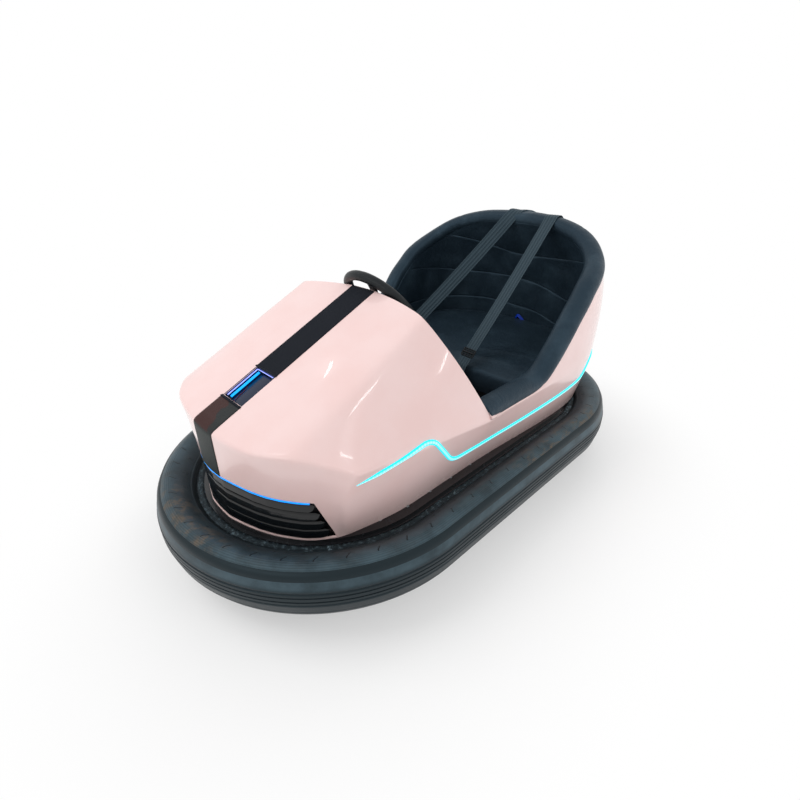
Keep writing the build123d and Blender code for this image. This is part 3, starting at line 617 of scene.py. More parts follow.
class Mesher:
    """Makes pieces from grids and sections, with their run along and across kept as a UV map."""

    @staticmethod
    def grid(name: str, points: np.ndarray, runs: Optional[np.ndarray] = None, closed_u: bool = False,
             closed_v: bool = False) -> bpy.types.Object:
        """Make a mesh from a grid of points.

        Args:
            name: the piece's name.
            points: rows by columns by 3, in metres.
            runs: the same grid's run along and across; for closed ways with one more row or column.
            closed_u: True where the last row joins the first.
            closed_v: True where the last column joins the first.

        Returns:
            The piece.
        """
        rows, columns = points.shape[:2]
        faces, corners = [], []
        for i in range(rows if closed_u else rows - 1):
            for j in range(columns if closed_v else columns - 1):
                a, b = (i + 1) % rows, (j + 1) % columns
                faces.append((i * columns + j, i * columns + b, a * columns + b, a * columns + j))
                corners += [(i, j), (i, j + 1), (i + 1, j + 1), (i + 1, j)]
        mesh = bpy.data.meshes.new(name)
        mesh.from_pydata(points.reshape(-1, 3).tolist(), [], faces)
        if runs is not None:
            layer = mesh.uv_layers.new(name="run")
            flat = np.array([runs[i, j] for i, j in corners], float)
            layer.data.foreach_set("uv", flat.ravel())
        return Mesher.add(name, mesh)

    @staticmethod
    def smooth(mesh: bpy.types.Mesh) -> None:
        """Shade a mesh smooth."""
        mesh.polygons.foreach_set("use_smooth", [True] * len(mesh.polygons))

    @staticmethod
    def add(name: str, mesh: bpy.types.Mesh) -> bpy.types.Object:
        """Put a mesh into the scene as a smooth piece."""
        Mesher.smooth(mesh)
        mesh.update()
        return add_object(name, mesh)

    @staticmethod
    def baked(name: str, work: bmesh.types.BMesh) -> bpy.types.Object:
        """Put a finished bmesh into the scene as a smooth piece.

        Args:
            name: the piece's name.
            work: the mesh, which is freed.

        Returns:
            The piece.
        """
        mesh = bpy.data.meshes.new(name)
        work.to_mesh(mesh)
        work.free()
        return Mesher.add(name, mesh)

    @staticmethod
    def shade(piece: bpy.types.Object, degrees: float) -> None:
        """Shade edges sharper than an angle as edges.

        Args:
            piece: the piece.
            degrees: the angle.
        """
        limit = math.radians(degrees)
        with editing(piece) as work:
            for edge in work.edges:
                edge.smooth = len(edge.link_faces) != 2 or edge.calc_face_angle(0.0) < limit

    @staticmethod
    def face(piece: bpy.types.Object, way: Point) -> None:
        """Turn an open sheet so that its faces look a given way."""
        if sum(p.normal.dot(Vector(way)) for p in piece.data.polygons) < 0:
            piece.data.flip_normals()

    @staticmethod
    def shift(piece: bpy.types.Object, places: np.ndarray) -> None:
        """Move a piece's points to new places."""
        piece.data.vertices.foreach_set("co", places.ravel())
        piece.data.update()

    @staticmethod
    def modify(piece: bpy.types.Object, kind: str, **settings: object) -> None:
        """Add a modifier and apply it at once.

        Args:
            piece: the piece.
            kind: the modifier's type.
            **settings: its properties.
        """
        modifier = piece.modifiers.new(kind.lower(), kind)
        for key, value in settings.items():
            setattr(modifier, key, value)
        depsgraph = bpy.context.evaluated_depsgraph_get()
        mesh = bpy.data.meshes.new_from_object(piece.evaluated_get(depsgraph), depsgraph=depsgraph)
        old = piece.data
        piece.modifiers.clear()
        piece.data = mesh
        bpy.data.meshes.remove(old)

    @staticmethod
    def join(name: str, pieces: Sequence[bpy.types.Object]) -> bpy.types.Object:
        """Join pieces into the first one and rename it.

        Args:
            name: the new piece's name.
            pieces: the pieces, which are removed.

        Returns:
            The new piece.
        """
        work = bmesh.new()
        for piece in pieces:
            work.from_mesh(piece.data)
        for piece in pieces:
            bpy.data.objects.remove(piece)
        return Mesher.baked(name, work)


def turns(count: int) -> np.ndarray:
    """Return the angles of equal steps round one turn."""
    return np.linspace(0, 2 * math.pi, count, endpoint=False)


def bell(gap: np.ndarray, wide: float) -> np.ndarray:
    """Return a smooth hump that is 1 where the gap is 0."""
    return np.exp(-(gap / wide) ** 2)


def bent(values: np.ndarray, power: float) -> np.ndarray:
    """Return values raised to a power, with their signs kept."""
    return np.sign(values) * np.abs(values) ** power


def eased(share: Union[float, np.ndarray]) -> Union[float, np.ndarray]:
    """Return a share from 0 to 1 with a soft start and end."""
    return share * share * (3 - 2 * share)


def evened(values: np.ndarray, reach: int = 4) -> np.ndarray:
    """Return the mean of each value and its neighbours within a reach."""
    padded = np.concatenate([values[:1].repeat(reach), values, values[-1:].repeat(reach)])
    return np.convolve(padded, np.ones(2 * reach + 1) / (2 * reach + 1), "valid")


def run_map(along: np.ndarray, across: np.ndarray) -> np.ndarray:
    """Return a grid's runs, from the run of its rows and of its columns."""
    return np.stack(np.meshgrid(along, across, indexing="ij"), axis=-1)


def oval(wide: float, high: float, steps: int) -> tuple[np.ndarray, np.ndarray]:
    """Return a tube's section and its run across, from -1 at its foot to 1 at its top."""
    turn = turns(steps)
    return np.stack([wide * np.cos(turn), high * np.sin(turn)], axis=1), np.sin(np.append(turn, 0.0))


def smooth_line(points: Sequence[Sequence[float]], count: int) -> np.ndarray:
    """Return evenly spaced points on a smooth curve through the given ones.

    Args:
        points: the points that it goes through.
        count: how many points come back.

    Returns:
        The points, count by their dimension.
    """
    p = np.array(points, float)
    padded = np.vstack([2 * p[0] - p[1], p, 2 * p[-1] - p[-2]])
    dense = []
    for i in range(1, len(padded) - 2):
        a, b, c, d = padded[i - 1:i + 3]
        t = np.linspace(0, 1, 24, endpoint=False)[:, None]
        dense.append(0.5 * (2 * b + (c - a) * t + (2 * a - 5 * b + 4 * c - d) * t ** 2
                            + (3 * b - a - 3 * c + d) * t ** 3))
    return spaced(np.vstack(dense + [p[-1:]]), count)


def spaced(line: np.ndarray, count: int) -> np.ndarray:
    """Return count points evenly spaced along a line of points."""
    reach = lengths(line)
    want = np.linspace(0, reach[-1], count)
    return np.stack([np.interp(want, reach, line[:, k]) for k in range(line.shape[1])], axis=1)


def lengths(line: np.ndarray) -> np.ndarray:
    """Return the distance run at each point of a line."""
    return np.concatenate([[0], np.cumsum(np.linalg.norm(np.diff(line, axis=0), axis=1))])


def unit(vectors: np.ndarray) -> np.ndarray:
    """Return vectors of length 1."""
    return vectors / np.maximum(np.linalg.norm(vectors, axis=-1, keepdims=True), 1e-12)


def sweep(name: str, line: np.ndarray, section: np.ndarray, closed: bool = False,
          up: Point = UP, across: Optional[np.ndarray] = None) -> bpy.types.Object:
    """Sweep a closed section along a line.

    Args:
        name: the piece's name.
        line: points in metres.
        section: closed loop of (outward, up) points in metres, or one loop for each point of the line.
        closed: True where the line closes on itself.
        up: which way the section's second axis leans.
        across: the run value for each section point, and one more for the seam.

    Returns:
        The piece.
    """
    ahead = np.roll(line, -1, axis=0) - np.roll(line, 1, axis=0)
    if not closed:
        ahead[0], ahead[-1] = line[1] - line[0], line[-1] - line[-2]
    ahead = unit(ahead)
    out = unit(np.cross(ahead, np.array(up, float)))
    rise = np.cross(out, ahead)
    loops = np.broadcast_to(section, (len(line), *section.shape[-2:]))
    points = line[:, None] + out[:, None] * loops[..., :1] + rise[:, None] * loops[..., 1:]
    count = section.shape[-2]
    run = lengths(np.vstack([line, line[:1]]))
    if across is None:
        across = lengths(np.vstack([loops[0], loops[0][:1]]))
    runs = run_map(run[:len(line) + int(closed)], across[:count + 1])
    return Mesher.grid(name, points, runs, closed_u=closed, closed_v=True)


def cap_ends(piece: bpy.types.Object) -> None:
    """Close the open ends of a swept piece."""
    with editing(piece) as work:
        fill_holes(work)
    Mesher.smooth(piece.data)


def dress(piece: bpy.types.Object, material: bpy.types.Material, body: str = "root",
          stands_for: Sequence[str] = ()) -> bpy.types.Object:
    """Give a piece its material, slot and body.

    Args:
        piece: the piece.
        material: its material.
        body: the body that it rides on.
        stands_for: the frame's nodes that it replaces.

    Returns:
        The piece.
    """
    piece.data.materials.clear()
    piece.data.materials.append(material)
    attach(piece, body)
    if stands_for:
        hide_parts(*stands_for)
    LOG.info("%s: %d faces, rides on %s", piece.name, len(piece.data.polygons), body)
    return piece


class Side(Enum):
    """A side of the car, as the sign of x."""

    LEFT = 1
    RIGHT = -1


@dataclass
class Cage:
    """Control mesh of one half of the body, with the edges and corners of its openings."""

    points: list = field(default_factory=list)
    faces: list = field(default_factory=list)
    edges: set = field(default_factory=set)
    corners: set = field(default_factory=set)

    def put(self, point: Sequence[float]) -> int:
        """Add a point given in millimetres and return its number."""
        self.points.append(np.array(point, float) * MM)
        return len(self.points) - 1

    def weave(self, grid: list[list[int]], hole: Sequence[tuple[int, int]] = ()) -> None:
        """Add the faces of a grid of point numbers, apart from the cells of a hole.

        Args:
            grid: point numbers by column and row.
            hole: the cells left open.
        """
        for i in range(len(grid) - 1):
            for j in range(len(grid[0]) - 1):
                if (i, j) not in hole:
                    self.faces.append((grid[i][j], grid[i + 1][j], grid[i + 1][j + 1], grid[i][j + 1]))


@dataclass
class BodySkin:
    """Moulded body: nose, hood, flanks and rear tub as one smooth skin. Its lines are in millimetres."""

    wall: float = 0.006
    edge_bevel: float = 0.0014
    foot_z: float = 220.0
    lip_z: float = 224.0
    flank_z: float = 297.0
    sill_z: float = 352.0
    middle_z: float = 360.0
    belt_z: float = 427.0
    notch_y: float = -100.0
    corner_y: float = 400.0
    window_mid: float = 371.0
    window_end: float = 360.0
    window_x: float = 322.0
    window_last: int = 9
    window_band: float = 9.0
    belt_band: float = 12.0
    lip_in: float = 9.0
    lip_up: float = 3.0
    tray_row: int = 2
    crease: int = 8
    rim_start: int = 3
    crest: tuple = ((0, -811, 508), (50, -809.5, 509.5), (57.5, -808.7, 510), (110, -805, 512), (165, -798, 514),
                    (212, -789, 516), (250, -774, 518), (287, -752, 519.5), (317, -731, 520), (340, -709, 514),
                    (378, -673, 500), (414, -636, 484), (430, -620, 477))
    foot: tuple = ((0, -813), (50, -811), (57.5, -810), (110, -796), (165, -777), (212, -755), (250, -731),
                   (287, -705), (316, -674), (342, -632), (346, -622), (349, -615), (351, -608))
    middle: tuple = ((0, -815), (50, -811), (57.5, -810), (110, -797), (165, -782), (212, -763), (250, -742),
                     (287, -715), (309, -695), (322, -683), (349, -661), (378, -640), (389, -632.5))
    belt_side: tuple = ((430, -620, 477), (434, -560, 471), (440, -400, 455), (449, -235, 440), (455, -100, 427))
    foot_side: tuple = ((351, -608), (362, -570), (387, -440), (387, -240), (387, -100))
    arch: tuple = ((0, -216, 778), (50, -217, 777.5), (57.5, -217.5, 777), (100, -222, 775), (150, -227, 772),
                   (200, -235, 768), (240, -243, 764), (275, -250, 760), (300, -257, 755), (321, -246, 731),
                   (352, -225, 685), (410, -175, 580), (455, -100, 427))
    rim: tuple = ((451, -104, 436), (442, 0, 437), (442, 90, 437), (442, 165, 443), (447, 228, 470), (457, 290, 560),
                  (464, 316, 615), (467, 370, 672), (466, 418, 722), (458, 476, 767), (436, 534, 797),
                  (404, 590, 826), (360, 630, 852), (300, 660, 872), (200, 690, 892), (100, 701, 900), (0, 705, 903))
    levels: tuple = ((220, 387, 408, 815, 3.1), (260, 399, 422, 822, 2.9), (320, 420, 440, 850, 2.65),
                     (427, 455, 457, 872, 2.55), (520, 459, 463, 866, 2.55), (615, 463, 467, 861, 2.55),
                     (700, 463, 467, 842, 2.55), (770, 455, 459, 812, 2.55), (905, 408, 414, 706, 2.6))
    shares: tuple = (0.0, 0.035, 0.165, 0.356, 0.56, 0.78, 0.97, 1.0)
    climb: tuple = (0.18, 0.4, 0.62, 0.82, 0.95, 1.0)
    tree: Optional[BVHTree] = None

    def tub_at(self, u: float, z: float) -> np.ndarray:
        """Return the tub's surface point.

        Args:
            u: 0 at the notch to 1 where the back's curve starts, then to 2 at the middle of the back.
            z: the height in millimetres.

        Returns:
            The point in millimetres.
        """
        table = np.array(self.levels, float)
        front, half, back, power = (np.interp(z, table[:, 0], table[:, k]) for k in range(1, 5))
        if u <= 1:
            y = self.notch_y + (self.corner_y - self.notch_y) * u
            return np.array([front + (half - front) * eased(u), y, z])
        turn = (u - 1) * math.pi / 2
        return np.array([half * max(math.cos(turn), 0) ** (2 / power),
                         self.corner_y + (back - self.corner_y) * math.sin(turn) ** (2 / power), z])

    def tub_share(self, point: np.ndarray) -> float:
        """Return where a point of the tub's surface lies round it, as tub_at counts.

        Args:
            point: the point in millimetres.

        Returns:
            The share, from 0 to 2.
        """
        if point[1] <= self.corner_y:
            return (point[1] - self.notch_y) / (self.corner_y - self.notch_y)
        table = np.array(self.levels, float)
        half, back, power = (np.interp(point[2], table[:, 0], table[:, k]) for k in range(2, 5))
        cosine = min(abs(point[0]) / half, 1.0) ** (power / 2)
        sine = min(abs(point[1] - self.corner_y) / (back - self.corner_y), 1.0) ** (power / 2)
        return 1 + math.atan2(sine, cosine) * 2 / math.pi

    def heights(self, top: float, window: float) -> list[float]:
        """Return the heights of a lower wall's rows, from the foot to its top."""
        over, under = window + self.window_band, top - self.belt_band
        return [self.foot_z, self.lip_z, self.flank_z, window, over, (window + top) / 2 + 4, under, top]

    def front_walls(self, cage: Cage) -> list[list[int]]:
        """Add the columns of the nose and the flank, from the middle to the notch, and return them.

        Args:
            cage: the mesh, which gets their points.

        Returns:
            Their point numbers by column.
        """
        columns = []
        for top, low, mid in zip(self.crest, self.foot, self.middle):
            window = self.window_mid + (self.window_end - self.window_mid) * min(top[0] / self.window_x, 1.0) ** 2
            levels = (self.foot_z, self.middle_z, top[2])
            columns.append([cage.put((np.interp(z, levels, (low[0], mid[0], top[0])),
                                      np.interp(z, levels, (low[1], mid[1], top[1])), z))
                            for z in self.heights(top[2], window)])
        for share in self.shares[1:]:
            top, low = self.along(self.belt_side, share), self.along(self.foot_side, share)
            levels = (self.foot_z, top[2])
            window = self.sill_z + (self.window_end - self.sill_z) * (1 - share)
            columns.append([cage.put((np.interp(z, levels, (low[0], top[0])),
                                      np.interp(z, levels, (low[1], top[1])), z))
                            for z in self.heights(top[2], window)])
        return columns

    def tub_walls(self, cage: Cage, lower: list[list[int]]) -> list[list[int]]:
        """Add the tub's columns.

        Args:
            cage: the mesh so far.
            lower: the columns of the lower walls, which get those of the tub.

        Returns:
            The columns of the upper walls, with the rim's lip.
        """
        rims, start = np.array(self.rim, float), self.rim_start
        rim_run = lengths(rims)
        belt_shares = np.linspace(self.tub_share(rims[start]), 2, 120)
        belt_run = lengths(np.array([self.tub_at(u, self.belt_z) for u in belt_shares]))
        upper = []
        for j, rim in enumerate(rims):
            share_up = share = self.tub_share(rim)
            if j > start:
                part = (rim_run[j] - rim_run[start]) / (rim_run[-1] - rim_run[start])
                share = float(np.interp(part * belt_run[-1], belt_run, belt_shares))
            if j:
                lower.append([cage.put(self.tub_at(share, z)) for z in self.heights(self.belt_z, self.sill_z)])
            rows = [lower[-1][-1]]
            gap = rim - self.tub_at(share_up, rim[2])
            for t in self.climb:
                z = self.belt_z + (rim[2] - self.belt_z) * t
                rows.append(cage.put(self.tub_at(share + (share_up - share) * t, z) + gap * t))
            inward = np.array([rim[0], (rim[1] - 300) * (rim[1] > self.corner_y), 0])
            inward = -inward / max(np.linalg.norm(inward), 1e-6)
            rows.append(cage.put(rim + inward * self.lip_in + (0, 0, self.lip_up)))
            upper.append(rows)
        return upper

    def hood_rows(self, cage: Cage, lower: list[list[int]]) -> list[list[int]]:
        """Add the hood's rows, from the nose's crest to the arch, and return them.

        Args:
            cage: the mesh, which gets their points.
            lower: the lower walls' columns.

        Returns:
            Their point numbers by row.
        """
        count = len(self.crest)
        side = [column[-1] for column in lower[count - 1:]]
        front, back = np.array(self.crest, float), np.array(self.arch, float)
        bend = np.clip((np.arange(count) - self.crease) / (count - 1 - self.crease), 0, 1)[:, None]
        rows = [[column[-1] for column in lower[:count]]]
        for number, share in enumerate(self.shares[1:], 1):
            row = front + (back - front) * share
            row += (self.along(self.belt_side, share) - row[-1]) * bend
            rows.append([cage.put(p) for p in row[:-1]] + [side[number]])
        return rows

    def cage(self) -> Cage:
        """Return the left half's control mesh.

        Returns:
            The mesh, with its faces, edges and corners.
        """
        cage, last, tray = Cage(), self.window_last, self.tray_row
        lower = self.front_walls(cage)
        upper = self.tub_walls(cage, lower)
        cage.weave(lower, [(i, j) for i in range(last) for j in (1, 2)])
        cage.weave(upper)
        hood = self.hood_rows(cage, lower)
        cage.weave(hood, [(tray, 0)])
        cage.corners.update((lower[last][1], lower[last][3], hood[tray][1], hood[tray + 1][1]))
        cage.edges.update(column[j] for column in lower[:last + 1] for j in (1, 3))
        cage.edges.update((lower[last][2], *hood[tray][:2], *hood[tray + 1][:2]))
        return cage

    def along(self, line: Sequence[Sequence[float]], share: float) -> np.ndarray:
        """Return the point at a share of a line's length, in millimetres."""
        points = np.array(line, float)
        run = lengths(points) / lengths(points)[-1]
        return np.array([np.interp(share, run, points[:, k]) for k in range(points.shape[1])])

    def build(self) -> bpy.types.Object:
        """Make the skin, thicken it and return it.

        Returns:
            The skin.
        """
        cage = self.cage()
        work = bmesh.new()
        edge_mark = work.edges.layers.float.new("crease_edge")
        point_mark = work.verts.layers.float.new("crease_vert")
        for side in Side:
            made = [work.verts.new((p[0] * side.value, p[1], p[2])) for p in cage.points]
            for index in cage.corners:
                made[index][point_mark] = 1.0
            for face in cage.faces:
                work.faces.new([made[i] for i in face[::side.value]])
            marked = {made[i] for i in cage.edges}
            for edge in work.edges:
                if edge.is_boundary and all(v in marked for v in edge.verts):
                    edge[edge_mark] = 1.0
        bmesh.ops.remove_doubles(work, verts=work.verts, dist=0.0002)
        bmesh.ops.recalc_face_normals(work, faces=work.faces)
        skin = Mesher.baked("body_skin", work)
        Mesher.modify(skin, "SUBSURF", levels=2, render_levels=2, boundary_smooth="ALL")
        self.tree = BVHTree.FromObject(skin, bpy.context.evaluated_depsgraph_get())
        outward = sum(p.normal.dot(Vector((p.center.x, p.center.y * 0.3, 0.3))) for p in skin.data.polygons)
        Mesher.modify(skin, "SOLIDIFY", thickness=self.wall, offset=-math.copysign(1.0, outward),
                      use_even_offset=False)
        Mesher.modify(skin, "BEVEL", width=self.edge_bevel, segments=2, limit_method="ANGLE",
                      angle_limit=math.radians(55))
        return skin


@dataclass
class BumperTyre:
    """Old tyre casing stretched round the car, with its ribs, scored lines and bead."""

    end_radius: float = 0.575
    straight: float = 0.400
    middle_z: float = 0.169
    steps: int = 150
    span: float = 0.0085
    bead_from: float = 0.128
    bead_fade: float = 0.01
    waves: tuple = ((131.0, 0.4), (47.0, 1.1), (263.0, 2.0))
    half: tuple = ((1.5, 0), (1.5, 5), (4.0, 6.2), (4.0, 8.4), (1.4, 9.6), (1.8, 17), (4.4, 18.2), (5.0, 20.6),
                   (3.4, 22.0), (4.8, 31), (5.3, 32.0), (5.6, 33.6), (6.0, 35), (8.8, 46), (12.4, 56.5),
                   (17.6, 67.0), (21.6, 72.4), (23.4, 73.0), (24.6, 75.4), (30, 80.8), (38, 85.2), (46, 87.0),
                   (52, 86.8), (62, 84.8), (76, 79.4), (90, 71.8), (101, 63.6), (108, 58.2), (110.2, 56.0),
                   (112.4, 55.6), (116.6, 50.0), (121.4, 43.6), (124.4, 41.2), (130, 40.2), (135.2, 42.2),
                   (139.6, 43.4), (143.8, 42.4), (147.6, 39.4), (151, 37.6), (157.5, 37.2))
    inside: tuple = ((157.5, 26), (130, 27.5), (108, 44.5), (84, 63.5), (58, 76.5), (34, 79.5), (20, 74.5), (12, 60),
                     (9, 20))

    def outline(self, inset: float, steps: int) -> np.ndarray:
        """Return the ring's plan outline drawn in by an inset, from the front left corner round.

        Args:
            inset: how far inside the tread, in metres.
            steps: points in each half circle.

        Returns:
            The closed line of points at the height of the ring's middle.
        """
        radius = self.end_radius - inset
        turn = np.linspace(0, math.pi, steps)
        rear = np.stack([radius * np.cos(turn), self.straight + radius * np.sin(turn)], axis=1)
        side = np.linspace(self.straight, -self.straight, steps // 2)[1:-1]
        far = np.stack([np.full(len(side), -radius), side], axis=1)
        plan = np.vstack([rear, far, -rear, -far])
        return np.column_stack([plan, np.full(len(plan), self.middle_z)])

    def build(self) -> bpy.types.Object:
        """Make the casing and return it.

        Returns:
            The casing.
        """
        upper = np.array(self.half) * MM
        back = np.array(self.inside) * MM
        mirror = (1, -1)
        loop = self.refine(np.vstack([upper, back, (back * mirror)[::-1], (upper[1:] * mirror)[::-1]]))
        base = self.outline(0.0, self.steps)
        rings = [self.outline(inset, self.steps) + (0, 0, high) for inset, high in loop]
        points = np.array(rings).transpose(1, 0, 2)
        run = lengths(np.vstack([base, base[:1]]))
        bead = np.clip((loop[:, 0] - self.bead_from) / self.bead_fade, 0, 1) * (loop[:, 1] > 0)
        points[:, :, 2] += self.lumps(run[:-1])[:, None] * bead[None, :]
        runs = run_map(run, lengths(np.vstack([loop, loop[:1]])))
        tyre = Mesher.grid("bumper_casing", points, runs, closed_u=True, closed_v=True)
        Mesher.shade(tyre, 62.0)
        return tyre

    def lumps(self, run: np.ndarray) -> np.ndarray:
        """Return how far the worn bead rises along the casing, in metres."""
        first, second, third = (np.sin(run * often + phase) for often, phase in self.waves)
        return 0.0007 * first * second + 0.0006 * third

    def refine(self, loop: np.ndarray) -> np.ndarray:
        """Round the wide spans of a section by adding points on a smooth curve through them.

        Args:
            loop: the section's points in metres.

        Returns:
            The section with its added points.
        """
        out = []
        for i in range(len(loop)):
            a, b, c, d = (loop[(i + k) % len(loop)] for k in (-1, 0, 1, 2))
            out.append(b)
            if np.linalg.norm(c - b) > self.span and i < len(self.half) - 2:
                out.append((-a + 9 * b + 9 * c - d) / 16)
        return np.array(out)


@dataclass
class SeatLines:
    """The roll's line round the tub and the padded liner's surface."""

    roll_half: tuple = ((414, -160, 452), (414, -60, 452), (414, 60, 452), (415, 150, 453), (421, 205, 474),
                        (428, 250, 525), (434, 300, 590), (436, 350, 651), (434, 400, 697), (430, 440, 734),
                        (424, 480, 760),
                        (413, 518, 782), (398, 548, 801), (376, 574, 822), (344, 600, 846), (300, 622, 869),
                        (240, 638, 889), (165, 649, 904), (80, 654, 911), (0, 656, 913))
    walls: tuple = ((330, 383, 747), (447, 400, 757), (560, 404, 750), (640, 405, 742), (720, 402, 722),
                    (780, 396, 694), (850, 384, 654), (905, 372, 622))
    corner_y: float = 440.0
    power: float = 2.5
    front_y: float = 150.0
    straight: float = 0.30
    roll_shift: float = 6.0

    def roll_line(self, count: int) -> np.ndarray:
        """Return the roll's middle line from the right front end round to the left, in metres.

        Args:
            count: how many points come back.

        Returns:
            The points.
        """
        half = []
        for point in self.roll_half:
            p = np.array(point, float)
            half.append(p + unit(np.array((p[0], max(p[1] - 400, 0), 0))) * self.roll_shift)
        whole = half + [p * (-1, 1, 1) for p in half[-2::-1]]
        return smooth_line(whole, count) * MM

    def wall_at(self, u: float, z: float) -> np.ndarray:
        """Return a point of the liner's face.

        Args:
            u: 0 at the left front edge, 1 in the middle of the back, 2 at the right front edge.
            z: the height in millimetres.

        Returns:
            The point in millimetres.
        """
        side = 1 if u <= 1 else -1
        share = u if u <= 1 else 2 - u
        table = np.array(self.walls, float)
        half, back = (np.interp(z, table[:, 0], table[:, k]) for k in (1, 2))
        if share <= self.straight:
            return np.array([side * half, self.front_y + (self.corner_y - self.front_y) * share / self.straight, z])
        turn = (share - self.straight) / (1 - self.straight) * math.pi / 2
        cosine, sine = max(math.cos(turn), 0.0), math.sin(turn)
        return np.array([side * half * cosine ** (2 / self.power),
                         self.corner_y + (back - self.corner_y) * sine ** (2 / self.power), z])


class Upholsterer:
    """Swells sewn sheets with a cloth simulation."""

    FRAMES = 20
    CLOTH = {"quality": 6, "mass": 0.25, "vertex_group_mass": "seam", "use_pressure": True, "shrink_min": -0.002,
             "tension_stiffness": 22, "compression_stiffness": 22, "bending_stiffness": 14}

    @staticmethod
    def swell(piece: bpy.types.Object, pinned: np.ndarray, pressure: float, cap: float) -> None:
        """Swell a sheet between its seams and keep the result.

        Args:
            piece: the sheet, its normals facing the way that it swells.
            pinned: how firmly each point is held, from 0 to 1.
            pressure: the pressure behind it.
            cap: the most that a point may move, in metres.
        """
        rest = np.array([v.co for v in piece.data.vertices])
        group = piece.vertex_groups.new(name="seam")
        for index, hold in enumerate(pinned.ravel()):
            group.add([index], float(hold), "REPLACE")
        cloth = piece.modifiers.new("cloth", "CLOTH")
        for key, value in Upholsterer.CLOTH.items():
            setattr(cloth.settings, key, value)
        cloth.settings.uniform_pressure_force = pressure
        cloth.settings.effector_weights.gravity = 0
        cloth.collision_settings.use_collision = False
        scene = bpy.context.scene
        for span in (scene, cloth.point_cache):
            span.frame_start, span.frame_end = 1, Upholsterer.FRAMES
        for frame_number in range(1, Upholsterer.FRAMES + 1):
            scene.frame_set(frame_number)
        graph = bpy.context.evaluated_depsgraph_get()
        mesh = piece.evaluated_get(graph).to_mesh()
        moved = np.array([v.co for v in mesh.vertices])
        piece.evaluated_get(graph).to_mesh_clear()
        piece.modifiers.clear()
        piece.vertex_groups.clear()
        scene.frame_set(1)
        step = moved - rest
        size = np.linalg.norm(step, axis=1, keepdims=True)
        step *= np.minimum(1.0, cap / np.maximum(size, 1e-9))
        Mesher.shift(piece, rest + step)
        LOG.info("%s: swelled by %.1f mm at most", piece.name, float(np.linalg.norm(step, axis=1).max()) / MM)


